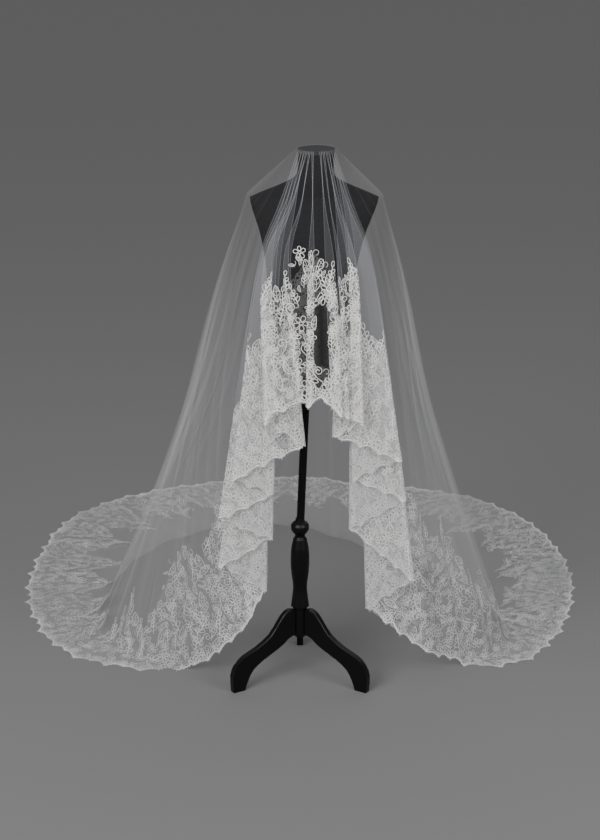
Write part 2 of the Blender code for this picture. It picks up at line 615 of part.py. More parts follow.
def wall(points, normals, proud, open_cells=()):
    """Points and faces of a wall on a patch of the sheet, with its open gaps."""
    half = TULLE_WALL / 2
    outer = points + normals * (half + proud)
    inner = points - normals * half
    lines, rows = points.shape[:2]
    count = lines * rows
    verts = [tuple(p) for p in outer.reshape(-1, 3)] + [tuple(p) for p in inner.reshape(-1, 3)]
    faces = []
    gaps = set(open_cells)

    def at(i, j, layer):
        return layer * count + i * rows + j

    for i in range(lines - 1):
        for j in range(rows - 1):
            ring = (at(i, j, 0), at(i + 1, j, 0), at(i + 1, j + 1, 0), at(i, j + 1, 0))
            under = tuple(v + count for v in ring)
            if (i, j) in gaps:
                add_gap(verts, faces, ring, under)
                continue
            faces.append((ring[0], ring[1], ring[2]))
            faces.append((ring[0], ring[2], ring[3]))
            faces.append((under[2], under[1], under[0]))
            faces.append((under[3], under[2], under[0]))
    edge = [(i, 0) for i in range(lines)] + [(lines - 1, j) for j in range(1, rows)]
    edge += [(i, rows - 1) for i in range(lines - 2, -1, -1)] + [(0, j) for j in range(rows - 2, 0, -1)]
    for k, here in enumerate(edge):
        there = edge[(k + 1) % len(edge)]
        here_out, here_in = at(*here, 0), at(*here, 1)
        there_out, there_in = at(*there, 0), at(*there, 1)
        if here < there:
            faces += [(here_out, here_in, there_in), (here_out, there_in, there_out)]
        else:
            faces += [(here_out, here_in, there_out), (here_in, there_in, there_out)]
    return verts, faces


def add_gap(verts, faces, ring, under):
    """A pointed oval gap through one cell of the lace."""
    first = len(verts)
    for layer in (ring, under):
        corners = [np.array(verts[v]) for v in layer]
        middle = sum(corners) / 4
        for k in range(4):
            side = (corners[k] + corners[(k + 1) % 4]) / 2
            verts.append(tuple(middle + (side - middle) * 2 * GAP_CELL_SHARE))
    top = [first + k for k in range(4)]
    low = [first + 4 + k for k in range(4)]
    for k in range(4):
        nxt = (k + 1) % 4
        faces.append((ring[k], ring[nxt], top[k]))
        faces.append((ring[nxt], top[nxt], top[k]))
        faces.append((under[nxt], under[k], low[k]))
        faces.append((low[nxt], under[nxt], low[k]))
        faces.append((top[k], top[nxt], low[nxt], low[k]))


def lace_on_falls(lines):
    """Gives each line of the sides and back its depth of lace, with peaks along the hem."""
    ends = np.array([line.hem if line.hem is not None else line.places[-1] for line in lines])
    above = np.array([line.places[-1] if line.hem is not None else line.places[-2] for line in lines])
    run = np.concatenate([[0.0], np.cumsum(np.linalg.norm(np.diff(ends, axis=0), axis=1))])
    spread_above, spread = (np.linalg.norm(np.gradient(places, axis=0), axis=1) for places in (above, ends))
    narrowing = spread_above / spread
    for line, distance, share in zip(lines, run, narrowing):
        phase = distance / PEAK_SPACING
        peak = 1.0 - 2.0 * abs(phase - math.floor(phase) - 0.5) * 2.0
        line.lace += BORDER_PEAK * peak * min(1.0, share)


def scalloped(points, start, depth=SCALLOP_DEPTH):
    """Draws every other point of the hem in, so that it runs in small points."""
    out = points.copy()
    inward = unit(points[:, -2] - points[:, -1])
    for i in range(len(points)):
        if (i + start) % 2:
            out[i, -1] += inward[i] * depth
    return out


def add_patch(name, points, normals, trim, proud, material, open_cells=()):
    """One node of the veil."""
    drawn = draw_in(points, trim)
    verts, faces = wall(drawn, normals, proud, open_cells)
    return add_object(name, verts, faces, material, smooth_deg=60.0)


def build_crown(material):
    """The tulle that lies on the neck cap."""
    rows = ((0.0, CAP_TOP_Z), (0.35, CAP_TOP_Z), (0.75, CAP_TOP_Z - CAP_DOME * 0.4), (1.0, CAP_TOP_Z - CAP_DOME))
    edge = RIM_RADIUS - TULLE_WALL / 2 - GAP
    middle_x = lean_x(CAP_TOP_Z)
    verts = []
    for layer in (GAP + TULLE_WALL, GAP):
        verts.append((middle_x, 0.0, CAP_TOP_Z + layer))
        for share, z in rows[1:]:
            radius = edge if share == 1.0 else CAP_RADIUS * share
            for i in range(CROWN_SIDES):
                a = 2.0 * math.pi * i / CROWN_SIDES
                verts.append((middle_x + radius * math.cos(a), radius * math.sin(a), z + layer))
    rings = len(rows) - 1
    per_layer = 1 + rings * CROWN_SIDES
    faces = []
    for i in range(CROWN_SIDES):
        j = (i + 1) % CROWN_SIDES
        faces.append((0, 1 + i, 1 + j))
        faces.append((per_layer, per_layer + 1 + j, per_layer + 1 + i))
        for ring in range(rings - 1):
            a, b = 1 + ring * CROWN_SIDES, 1 + (ring + 1) * CROWN_SIDES
            faces.append((a + i, b + i, b + j, a + j))
            faces.append((per_layer + a + j, per_layer + b + j, per_layer + b + i, per_layer + a + i))
        last = 1 + (rings - 1) * CROWN_SIDES
        faces.append((last + i, per_layer + last + i, per_layer + last + j, last + j))
    return add_object("veil_crown", verts, faces, material)


def gap_cells(columns, start=2, every=GAP_EVERY):
    """Cells of the lace's lower row that hold an open gap."""
    return [(i, 1) for i in range(start, columns, every)]


def build_veil(tulle, lace):
    """All stretches of the veil."""
    start, left, seam_left = front_and_cascade_lines(FOLDS_LEFT, -1)
    _, right, seam_right = front_and_cascade_lines(FOLDS_RIGHT, 1)
    falls = fall_lines()
    lace_on_falls(falls)
    lines = [start, *left, *falls, *reversed(right), start]
    fall_first = 1 + len(left)
    fall_last = fall_first + len(falls) - 1
    grid = sheet_points(lines)
    normals = sheet_normals(grid)
    first_row = ROWS_TO_SHOULDER + ROWS_TO_FIRST
    second_row = first_row + ROWS_TO_SECOND
    left_seam = 1 + seam_left
    right_seam = len(lines) - 2 - seam_right
    side_lines = SIDE_END * LINES_PER_FALL
    left_side_end = fall_first + side_lines
    right_side_start = fall_last - side_lines
    build_front(grid, normals, left_seam, right_seam, first_row, tulle, lace)
    stretches = (
        ("cascade_left", left_seam, fall_first), ("side_left", fall_first, left_side_end),
        ("side_right", right_side_start, fall_last), ("cascade_right", fall_last, right_seam),
    )
    for name, a, b in stretches:
        part, bent = grid[a:b + 1], normals[a:b + 1]
        add_patch("veil_" + name, part[:, :first_row + 1], bent[:, :first_row + 1], (1, 1, 0, 1), 0.0, tulle)
        cut = scalloped(part[:, first_row:], a)
        cells = gap_cells(b - a - 1)
        add_patch("lace_" + name, cut, bent[:, first_row:], (1, 1, 1, 0), LACE_PROUD, lace, cells)
    back = slice(left_side_end, right_side_start + 1)
    add_patch("veil_back", grid[back, :first_row + 1], normals[back, :first_row + 1], (1, 1, 0, 1), 0.0, tulle)
    split = TRAIN_SPLIT * LINES_PER_FALL
    for name, a, b in (("left", left_side_end, left_side_end + split),
                       ("back", left_side_end + split, right_side_start - split),
                       ("right", right_side_start - split, right_side_start)):
        part, bent = grid[a:b + 1], normals[a:b + 1]
        add_patch("train_" + name, part[:, first_row:second_row + 1], bent[:, first_row:second_row + 1],
                  (1, 1, 1, 1), 0.0, tulle)
        fine, turned_up = finer_columns(part[:, second_row:], 2), finer_columns(bent[:, second_row:], 2)
        cells = gap_cells(len(fine) - 2)
        fine = scalloped(fine, 0)
        add_patch("lace_train_" + name, fine, unit(turned_up), (1, 1, 1, 0), LACE_PROUD, lace, cells)


def build_front(grid, normals, left_seam, right_seam, first_row, tulle, lace):
    """The front fall, which runs over the start of the ring of lines."""
    points = np.concatenate([grid[right_seam:-1], grid[:left_seam + 1]])
    bent = np.concatenate([normals[right_seam:-1], normals[:left_seam + 1]])
    add_patch("veil_front", points[:, :first_row + 1], bent[:, :first_row + 1], (1, 1, 0, 1), 0.0, tulle)
    cells = gap_cells(len(points) - 2, FRONT_GAP_START, FRONT_GAP_EVERY)
    cut = scalloped(points[:, first_row:], 0, SCALLOP_DEPTH / 2)
    add_patch("lace_front", cut, bent[:, first_row:], (1, 1, 1, 0), LACE_PROUD, lace, cells)


def main():
    """Builds the whole object."""
    remove_all_objects()
    tulle = make_material("tulle", (0.86, 0.86, 0.86), 0.75, sheen=0.3)
    lace = make_material("lace", (0.93, 0.92, 0.89), 0.8, sheen=0.3)
    jersey = make_material("form_jersey", (0.012, 0.012, 0.013), 0.85)
    cap = make_material("cap_cover", (0.05, 0.05, 0.055), 0.6)
    lacquer = make_material("stand_lacquer", (0.010, 0.010, 0.011), 0.35)
    steel = make_material("pole_enamel", (0.012, 0.012, 0.013), 0.3)
    build_torso(jersey)
    build_cap(cap)
    build_stand(lacquer, steel)
    build_crown(tulle)
    build_veil(tulle, lace)


main()
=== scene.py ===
"""Bridal veil of tulle with a corded lace border on a dress form: its looks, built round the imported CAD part.

The veil is one sheet, described by lines that run down the cloth from the rim of the neck cap to the hem.
The tables of part.py are repeated here and sampled finely, and the lace is drawn on the sheet in distances
along and up from the hem. Metres, +Z up, the floor at Z = 0.
"""

from __future__ import annotations

import logging
import math
from dataclasses import dataclass, field
from enum import Enum

import bpy
import numpy as np
from mathutils import Matrix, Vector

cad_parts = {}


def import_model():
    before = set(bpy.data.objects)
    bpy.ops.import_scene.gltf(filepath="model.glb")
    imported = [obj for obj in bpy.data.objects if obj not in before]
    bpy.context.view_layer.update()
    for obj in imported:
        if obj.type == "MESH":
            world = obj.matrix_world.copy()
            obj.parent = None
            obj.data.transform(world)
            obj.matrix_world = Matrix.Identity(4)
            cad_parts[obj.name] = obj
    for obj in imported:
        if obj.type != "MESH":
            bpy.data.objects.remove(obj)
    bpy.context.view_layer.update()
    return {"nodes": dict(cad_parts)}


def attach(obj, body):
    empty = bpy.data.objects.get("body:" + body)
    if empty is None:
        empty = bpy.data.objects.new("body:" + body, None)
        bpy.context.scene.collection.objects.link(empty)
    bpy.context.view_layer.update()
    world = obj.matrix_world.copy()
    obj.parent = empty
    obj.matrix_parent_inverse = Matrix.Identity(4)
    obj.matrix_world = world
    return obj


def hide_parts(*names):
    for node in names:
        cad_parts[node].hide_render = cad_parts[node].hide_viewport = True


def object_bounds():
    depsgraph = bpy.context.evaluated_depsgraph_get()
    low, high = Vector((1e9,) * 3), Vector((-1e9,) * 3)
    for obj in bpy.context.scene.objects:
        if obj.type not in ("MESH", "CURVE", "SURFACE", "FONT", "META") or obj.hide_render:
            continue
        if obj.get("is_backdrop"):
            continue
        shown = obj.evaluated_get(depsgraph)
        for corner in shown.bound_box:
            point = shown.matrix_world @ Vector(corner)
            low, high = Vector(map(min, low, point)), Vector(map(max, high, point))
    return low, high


LOG = logging.getLogger("veil")
GROUND_SHIFT_Y = -0.715
FLOOR_Z = 0.0006
TURN_OF_LINES = 8
COLUMN_LISTS = ("places", "hems", "lace", "turn", "notch", "peak", "shoulder_at")


class Side(Enum):
    """Side of the front, with its sign along X."""

    LEFT = -1
    RIGHT = 1


class Motif(Enum):
    """Forms of the corded lace."""

    FLOWER = "flower"
    LEAF = "leaf"
    SCROLL = "scroll"
    CURL = "curl"
    SPRAY = "spray"
    FAN = "fan"


# Finishes


class Nodes:
    """Adds and links shader nodes of one material."""

    def __init__(self, name: str) -> None:
        """Starts a material with its Principled shader.

        Args:
            name: name of the material.
        """
        self.material = bpy.data.materials.new(name)
        self.material.use_nodes = True
        self.tree = self.material.node_tree
        self.shader = self.tree.nodes["Principled BSDF"]

    def add(self, kind: str, **settings: object) -> bpy.types.Node:
        """Adds a node.

        Args:
            kind: Blender's type of the node.
            settings: its properties, and its inputs by name in a dict called inputs.

        Returns:
            The node.
        """
        node = self.tree.nodes.new(kind)
        inputs = settings.pop("inputs", {})
        for key, value in settings.items():
            setattr(node, key, value)
        for key, value in inputs.items():
            if isinstance(value, bpy.types.NodeSocket):
                self.tree.links.new(value, node.inputs[key])
            else:
                node.inputs[key].default_value = value
        return node

    def maths(self, operation: str, first: object, second: object = 0.0,
              clamp: bool = False) -> bpy.types.NodeSocket:
        """Adds a Math node and returns its value.

        Args:
            operation: the node's operation.
            first: a socket or a number.
            second: a socket or a number.
            clamp: keeps the value between 0 and 1.

        Returns:
            The output socket.
        """
        node = self.add("ShaderNodeMath", operation=operation, use_clamp=clamp, inputs={0: first, 1: second})
        return node.outputs[0]

    def attribute(self, name: str) -> bpy.types.NodeSocket:
        """The value of a point attribute."""
        return self.add("ShaderNodeAttribute", attribute_name=name).outputs["Fac"]

    def scaled_sum(self, value: bpy.types.NodeSocket, factor: float, term: float) -> bpy.types.NodeSocket:
        """A socket times a factor, plus a term.

        Args:
            value: the socket.
            factor: what it is multiplied by.
            term: what is added.

        Returns:
            The output socket.
        """
        out = self.maths("MULTIPLY_ADD", value, factor)
        out.node.inputs[2].default_value = term
        return out

    def flat_noise(self, vector: bpy.types.NodeSocket, scale: float, detail: float) -> bpy.types.Node:
        """A noise over the cloth's own UV.

        Args:
            vector: the socket of its places.
            scale: its scale.
            detail: its detail.

        Returns:
            The noise node.
        """
        return self.add("ShaderNodeTexNoise", noise_dimensions="2D",
                        inputs={"Vector": vector, "Scale": scale, "Detail": detail})

    def flat_cells(self, vector: bpy.types.NodeSocket, scale: float, line: float) -> bpy.types.NodeSocket:
        """The edges of a net of cells over the cloth's own UV, 1 on an edge.

        Args:
            vector: the socket of its places.
            scale: how many cells to a metre.
            line: half width of an edge, as a share of a cell.

        Returns:
            The output socket.
        """
        cells = self.add("ShaderNodeTexVoronoi", voronoi_dimensions="2D", feature="DISTANCE_TO_EDGE",
                         inputs={"Vector": vector, "Scale": scale})
        return self.maths("LESS_THAN", cells.outputs["Distance"], line)

    def uv(self) -> bpy.types.NodeSocket:
        """The piece's own UV, in metres along and down the cloth."""
        return self.add("ShaderNodeUVMap", uv_map="cloth").outputs["UV"]

    def place(self) -> bpy.types.NodeSocket:
        """Object coordinates."""
        return self.add("ShaderNodeTexCoord").outputs["Object"]

    def set(self, **values: object) -> None:
        """Sets inputs of the Principled shader, with _ for a space."""
        for key, value in values.items():
            socket = self.shader.inputs[key.replace("_", " ")]
            if isinstance(value, bpy.types.NodeSocket):
                self.tree.links.new(value, socket)
            else:
                socket.default_value = value


@dataclass(frozen=True)
class TulleFinish:
    """Sheer soft net. Its point attribute cover says how much one layer hides, and more at creases, where a
    narrow band of it paints a highlight line on each soft crease.
    """

    colour: tuple[float, float, float, float] = (0.60, 0.605, 0.635, 1.0)
    net_scale: float = 520.0
    net_line: float = 0.10
    thread_cover: float = 0.9
    open_cover: float = 0.7

    def make(self) -> bpy.types.Material:
        """Makes the material.

        Returns:
            The material.
        """
        nodes = Nodes("tulle_net")
        thread = nodes.flat_cells(nodes.uv(), self.net_scale, self.net_line)
        shown = nodes.scaled_sum(thread, self.thread_cover, self.open_cover)
        nodes.set(Base_Color=self.colour, Roughness=0.85, Specular_IOR_Level=0.1, Sheen_Weight=0.1,
                  Alpha=nodes.maths("MULTIPLY", shown, nodes.attribute("cover"), clamp=True))
        return nodes.material


@dataclass(frozen=True)
class LaceGroundFinish:
    """The fine filling of the lace between its cords, on the same net, in a mid grey that paints shade between
    the bright cords.
    """

    # Painted shade: a mid grey for the ivory filling, so that it reads darker than the cords; it also greys the
    # tulle of the sides and the train
    colour: tuple[float, float, float, float] = (0.56, 0.56, 0.565, 1.0)
    cell_scale: float = 120.0
    cell_line: float = 0.13
    bend_scale: float = 24.0
    bend_reach: float = 0.03
    petal_scale: float = 60.0
    petal_from: float = 0.52
    petal_cover: float = 0.6
    ragged_scale: float = 33.0
    ragged_reach: float = 2.4

    def make(self) -> bpy.types.Material:
        """Makes the material.

        Returns:
            The material.
        """
        nodes = Nodes("lace_ground")
        uv = nodes.uv()
        bend = nodes.flat_noise(uv, self.bend_scale, 1.0)
        reach = (self.bend_reach, self.bend_reach, 0.0)
        moved = nodes.add("ShaderNodeVectorMath", operation="MULTIPLY_ADD",
                          inputs={0: bend.outputs["Color"], 1: reach, 2: uv})
        bars = nodes.flat_cells(moved.outputs[0], self.cell_scale, self.cell_line)
        solid = nodes.flat_noise(uv, self.petal_scale, 2.0)
        petals = nodes.maths("GREATER_THAN", solid.outputs["Fac"], self.petal_from)
        fill = nodes.maths("MAXIMUM", bars, nodes.maths("MULTIPLY", petals, self.petal_cover))
        ragged = nodes.flat_noise(uv, self.ragged_scale, 1.0)
        edge = nodes.scaled_sum(ragged.outputs["Fac"], self.ragged_reach, -0.5 * self.ragged_reach)
        inside = nodes.maths("GREATER_THAN", nodes.maths("ADD", nodes.attribute("inside"), edge), 0.5)
        cover = nodes.maths("MULTIPLY", nodes.maths("MULTIPLY", fill, inside), nodes.attribute("fill"))
        base = nodes.attribute("cover")
        nodes.set(Base_Color=self.colour, Roughness=0.85, Specular_IOR_Level=0.15, Sheen_Weight=0.15,
                  Alpha=nodes.maths("ADD", cover, base, clamp=True))
        return nodes.material


@dataclass(frozen=True)
class CordFinish:
    """Matt ivory cord of the lace with painted shade: its point attribute light is 1 (lit ivory) on the
    foremost cloth, and lower values mix in a painted shade grey.
    """

    colour: tuple[float, float, float, float] = (0.90, 0.885, 0.85, 1.0)
    # Painted shade: the grey that the cords get where the cloth is less lit, mostly on the falls and the train
    painted_shade: tuple[float, float, float, float] = (0.56, 0.56, 0.57, 1.0)

    def make(self) -> bpy.types.Material:
        """Makes the material.

        Returns:
            The material.
        """
        nodes = Nodes("lace_cord")
        twist = nodes.add("ShaderNodeTexWave", wave_type="BANDS", bands_direction="DIAGONAL",
                          inputs={"Vector": nodes.place(), "Scale": 180.0, "Distortion": 2.0})
        bump = nodes.add("ShaderNodeBump",
                         inputs={"Strength": 0.35, "Distance": 0.0004, "Height": twist.outputs["Fac"]})
        # The cord colour mixes from the painted shade grey to the lit ivory by the attribute light, painting
        # shade by where the cloth hangs
        shade = nodes.add("ShaderNodeMix", data_type="RGBA",
                          inputs={"Factor": nodes.attribute("light"), 6: self.painted_shade, 7: self.colour})
        nodes.set(Base_Color=shade.outputs[2], Roughness=0.75, Specular_IOR_Level=0.2, Sheen_Weight=0.15,
                  Normal=bump.outputs[0])
        return nodes.material


@dataclass(frozen=True)
class DarkFinish:
    """Black jersey, cloth, lacquer or enamel."""

    name: str
    colour: tuple[float, float, float, float]
    roughness: float
    grain: tuple[float, float, float]
    bump: float
    coat: float = 0.0
    gloss: float = 0.35
    unevenness: float = 0.12

    def make(self) -> bpy.types.Material:
        """Makes the material.

        Returns:
            The material.
        """
        nodes = Nodes(self.name)
        stretch = nodes.add("ShaderNodeMapping", inputs={"Vector": nodes.place(), "Scale": self.grain})
        noise = nodes.add("ShaderNodeTexNoise",
                          inputs={"Vector": stretch.outputs[0], "Scale": 1.0, "Detail": 3.0})
        bump = nodes.add("ShaderNodeBump", inputs={"Strength": self.bump, "Distance": 0.0005,
                                                   "Height": noise.outputs["Fac"]})
        least = self.roughness - 0.5 * self.unevenness
        rough = nodes.scaled_sum(noise.outputs["Fac"], self.unevenness, least)
        nodes.set(Base_Color=self.colour, Roughness=rough, Coat_Weight=self.coat, Coat_Roughness=0.25,
                  Specular_IOR_Level=self.gloss, Normal=bump.outputs[0])
        return nodes.material


JERSEY = DarkFinish("form_jersey_cloth", (0.004, 0.004, 0.005, 1.0), 0.9, (900.0, 900.0, 1600.0), 0.25,
                    gloss=0.08)
CAP_CLOTH = DarkFinish("cap_cloth", (0.022, 0.022, 0.024, 1.0), 0.85, (700.0, 700.0, 700.0), 0.3, gloss=0.15)
LACQUER = DarkFinish("satin_lacquer", (0.002, 0.002, 0.0022, 1.0), 0.42, (60.0, 60.0, 12.0), 0.10,
                     coat=0.05, gloss=0.2)
ENAMEL = DarkFinish("black_enamel", (0.002, 0.002, 0.0022, 1.0), 0.38, (40.0, 40.0, 40.0), 0.05,
                    coat=0.04, gloss=0.2)


# Numbers of the sheet, as in part.py


@dataclass(frozen=True)
class SheetSizes:
    """The tables that the veil is drawn from."""

    fold_fields: tuple[str, ...] = ("name", "x", "z", "depth", "chest_x", "chest_depth", "lace")
    folds_left: tuple[tuple, ...] = (
        ("middle_out", 0.016, 0.888, 0.006, 0.022, 0.0045, 0.435),
        ("middle_in", 0.036, 0.900, 0.013, 0.038, 0.0090, 0.410),
        ("narrow_out", -0.005, 0.896, 0.021, -0.042, 0.0135, 0.340),
        ("narrow_in", 0.011, 0.897, 0.028, -0.024, 0.0175, 0.300),
        ("strip_out", -0.098, 0.843, 0.037, -0.092, 0.0215, 0.375),
        ("strip_in", -0.057, 0.858, 0.045, -0.068, 0.0250, 0.400),
        ("tier1_out", -0.098, 0.825, 0.053, -0.091, 0.0285, 0.360),
        ("tier1_in", 0.016, 0.755, 0.065, -0.030, 0.0330, 0.330),
        ("tier2_out", -0.192, 0.651, 0.078, -0.098, 0.0380, 0.400),
        ("tier2_in", -0.072, 0.602, 0.091, -0.050, 0.0425, 0.320),
        ("tier3_out", -0.230, 0.522, 0.104, -0.102, 0.0470, 0.360),
        ("tier3_in", -0.076, 0.457, 0.117, -0.060, 0.0515, 0.300),
        ("tier4_out", -0.232, 0.369, 0.130, -0.105, 0.0560, 0.340),
        ("tier4_in", -0.094, 0.289, 0.143, -0.072, 0.0605, 0.300),
    )
    folds_right: tuple[tuple, ...] = (
        ("middle_out", 0.116, 0.862, 0.006, 0.089, 0.0045, 0.380),
        ("middle_in", 0.083, 0.884, 0.013, 0.066, 0.0090, 0.330),
        ("narrow_out", 0.134, 0.852, 0.021, 0.106, 0.0135, 0.340),
        ("narrow_in", 0.122, 0.856, 0.028, 0.096, 0.0175, 0.370),
        ("strip_out", 0.173, 0.832, 0.037, 0.145, 0.0215, 0.440),
        ("strip_in", 0.140, 0.842, 0.045, 0.123, 0.0250, 0.410),
        ("tier1_out", 0.172, 0.822, 0.053, 0.144, 0.0285, 0.380),
        ("tier1_in", 0.087, 0.783, 0.065, 0.100, 0.0330, 0.330),
        ("tier2_out", 0.281, 0.709, 0.078, 0.181, 0.0380, 0.350),
        ("tier2_in", 0.143, 0.646, 0.091, 0.125, 0.0425, 0.310),
        ("tier3_out", 0.297, 0.580, 0.104, 0.185, 0.0470, 0.370),
        ("tier3_in", 0.137, 0.487, 0.117, 0.130, 0.0515, 0.300),
        ("tier4_out", 0.327, 0.326, 0.130, 0.188, 0.0560, 0.350),
        ("tier4_in", 0.188, 0.230, 0.143, 0.146, 0.0605, 0.300),
    )
    foremost_y: float = -0.195
    chest_y: float = -0.136
    chest_z: float = 1.290
    middle_x: float = 0.060
    middle_z: float = 0.915
    middle_chest_x: float = 0.052
    middle_lace: float = 0.380
    gather_fold: float = 0.34
    taut: float = 0.95
    rim_from_deg: float = 7.0
    rim_to_deg: float = 72.0
    seam_fold: int = 6
    rim_radius: float = 0.0515
    rim_z: float = 1.5550
    cap_x: float = 0.0393 * (1.557 - 0.45)
    middle_height: float = 0.75
    side_end: int = 7
    train_split: int = 3
    border_peak: float = 0.080
    peak_spacing: float = 0.225
    notch: float = 0.060
    # The drawn border reaches further on the train than the lace solids do: row of falls, and how much
    drawn_further: tuple[tuple[float, float], ...] = (
        (0.0, 0.0), (5.0, 0.0), (7.0, 0.02), (11.0, 0.0), (14.0, 0.02), (17.0, 0.07), (20.5, 0.11),
        (22.5, 0.03), (24.0, 0.0),
    )
    change_over: float = 0.010
    lifted_share: float = 0.45
    least_shoulder: float = 0.040
    # rim_deg, shoulder, middle, foot, hem, fold, lace
    falls: tuple[tuple, ...] = (
        (76, (-0.110, -0.074, 1.305), (-0.165, -0.040), (-0.152, -0.044, 0.179), None, 0.004, 0.330),
        (80, (-0.126, -0.050, 1.362), (-0.222, 0.006), (-0.231, -0.012, 0.080), None, 0.008, 0.420),
        (85, (-0.139, -0.022, 1.410), (-0.272, 0.046), (-0.325, 0.034, 0.0), (-0.330, 0.018), 0.010, 0.420),
        (91, (-0.1425, 0.004, 1.432), (-0.312, 0.088), (-0.440, 0.105, 0.0), (-0.452, 0.014), 0.012, 0.330),
        (98, (-0.140, 0.026, 1.428), (-0.333, 0.138), (-0.540, 0.185, 0.0), (-0.600, 0.058), 0.012, 0.240),
        (105, (-0.131, 0.046, 1.420), (-0.335, 0.198), (-0.602, 0.285, 0.0), (-0.722, 0.142), 0.010, 0.250),
        (112, (-0.118, 0.064, 1.410), (-0.318, 0.258), (-0.622, 0.430, 0.0), (-0.830, 0.330), 0.014, 0.265),
        (120, (-0.102, 0.078, 1.402), (-0.290, 0.318), (-0.610, 0.600, 0.0), (-0.897, 0.600), 0.016, 0.270),
        (129, (-0.083, 0.088, 1.396), (-0.250, 0.370), (-0.550, 0.790, 0.0), (-0.893, 0.900), 0.012, 0.270),
        (139, (-0.062, 0.095, 1.392), (-0.200, 0.412), (-0.450, 0.950, 0.0), (-0.830, 1.200), 0.016, 0.270),
        (151, (-0.035, 0.101, 1.390), (-0.135, 0.446), (-0.310, 1.060, 0.0), (-0.640, 1.420), 0.014, 0.270),
        (164, (0.000, 0.105, 1.390), (-0.060, 0.466), (-0.140, 1.115, 0.0), (-0.330, 1.565), 0.010, 0.270),
        (180, (0.043, 0.107, 1.390), (0.035, 0.470), (0.030, 1.060, 0.0), (0.000, 1.625), 0.014, 0.270),
        (196, (0.086, 0.105, 1.390), (0.130, 0.456), (0.170, 0.940, 0.0), (0.250, 1.540), 0.016, 0.270),
        (209, (0.121, 0.101, 1.390), (0.210, 0.430), (0.290, 0.825, 0.0), (0.460, 1.495), 0.012, 0.270),
        (221, (0.148, 0.095, 1.392), (0.275, 0.394), (0.400, 0.715, 0.0), (0.660, 1.390), 0.014, 0.270),
        (231, (0.169, 0.088, 1.396), (0.320, 0.350), (0.490, 0.600, 0.0), (0.820, 1.170), 0.010, 0.270),
        (240, (0.188, 0.078, 1.402), (0.353, 0.296), (0.560, 0.490, 0.0), (0.896, 0.880), 0.014, 0.270),
        (248, (0.204, 0.064, 1.410), (0.374, 0.238), (0.610, 0.390, 0.0), (0.896, 0.600), 0.012, 0.270),
        (255, (0.215, 0.046, 1.420), (0.380, 0.182), (0.632, 0.290, 0.0), (0.832, 0.332), 0.010, 0.260),
        (262, (0.221, 0.026, 1.426), (0.372, 0.130), (0.612, 0.190, 0.0), (0.722, 0.122), 0.014, 0.260),
        (269, (0.2215, 0.004, 1.429), (0.354, 0.085), (0.555, 0.112, 0.0), (0.602, 0.040), 0.010, 0.330),
        (275, (0.216, -0.022, 1.410), (0.329, 0.045), (0.480, 0.064, 0.0), (0.484, 0.048), 0.010, 0.420),
        (280, (0.205, -0.050, 1.362), (0.299, 0.006), (0.378, -0.006, 0.071), None, 0.008, 0.420),
        (284, (0.190, -0.074, 1.305), (0.258, -0.038), (0.280, -0.045, 0.155), None, 0.004, 0.330),
    )


def unit(vectors: np.ndarray) -> np.ndarray:
    """Unit vectors along the last axis."""
    return vectors / np.maximum(np.linalg.norm(vectors, axis=-1, keepdims=True), 1e-12)


def running(points: np.ndarray) -> np.ndarray:
    """Distance from the first of the points along their polyline.

    Args:
        points: the points.

    Returns:
        The distances.
    """
    return np.concatenate([[0.0], np.cumsum(np.linalg.norm(np.diff(points, axis=0), axis=1))])


def runs_down(paths: np.ndarray) -> np.ndarray:
    """Distance from the first point of each path along it.

    Args:
        paths: the paths, one in each row.

    Returns:
        The distances.
    """
    steps = np.linalg.norm(np.diff(paths, axis=1), axis=2)
    return np.concatenate([np.zeros((len(paths), 1)), np.cumsum(steps, axis=1)], axis=1)


def with_ends(table: np.ndarray) -> np.ndarray:
    """A table with one more column at each end, mirrored through the last one."""
    return np.concatenate([2 * table[:, :1] - table[:, 1:2], table, 2 * table[:, -1:] - table[:, -2:-1]], 1)


def smooth_between(rows: tuple | list | np.ndarray, t: float) -> np.ndarray:
    """The Catmull-Rom value between the middle two of four rows.

    Args:
        rows: the four rows.
        t: place between the middle two, from 0 to 1.

    Returns:
        The value.
    """
    a, b, c, d = rows
    return 0.5 * (2 * b + (c - a) * t + (2 * a - 5 * b + 4 * c - d) * t * t
                  + (3 * b - a - 3 * c + d) * t ** 3)


@dataclass
class Columns:
    """The lines down the cloth: their places, what ends them, and what is drawn by them."""

    places: list[np.ndarray] = field(default_factory=list)
    hems: list[np.ndarray | None] = field(default_factory=list)
    lace: list[float] = field(default_factory=list)
    turn: list[float] = field(default_factory=list)
    notch: list[float] = field(default_factory=list)
    peak: list[float] = field(default_factory=list)
    shoulder_at: list[int] = field(default_factory=list)

    def add(self, places: np.ndarray, hem: np.ndarray | None, lace: float, turn: float, shoulder_at: int,
            notch: float = 0.0, peak: float = 0.0) -> None:
        """Adds one line.

        Args:
            places: its four places from the rim down.
            hem: its hem on the floor, or None where the last place is the hem.
            lace: how far the border reaches up from the hem.
            turn: 1 on a fold's turn, and 0 on the flat cloth between folds.
            shoulder_at: which of the places is on the shoulder.
            notch: how far the drawn border stays below the lace.
            peak: distance along the hem from the nearest peak of the border.
        """
        self.places.append(places)
        self.hems.append(hem)
        self.lace.append(lace)
        self.turn.append(turn)
        self.notch.append(notch)
        self.peak.append(peak)
        self.shoulder_at.append(shoulder_at)

    def extend(self, other: Columns, backwards: bool = False) -> None:
        """Adds the lines of another set, also from its last to its first.

        Args:
            other: the other set.
            backwards: whether its last line comes first.
        """
        step = -1 if backwards else 1
        for name in COLUMN_LISTS:
            getattr(self, name).extend(getattr(other, name)[::step])


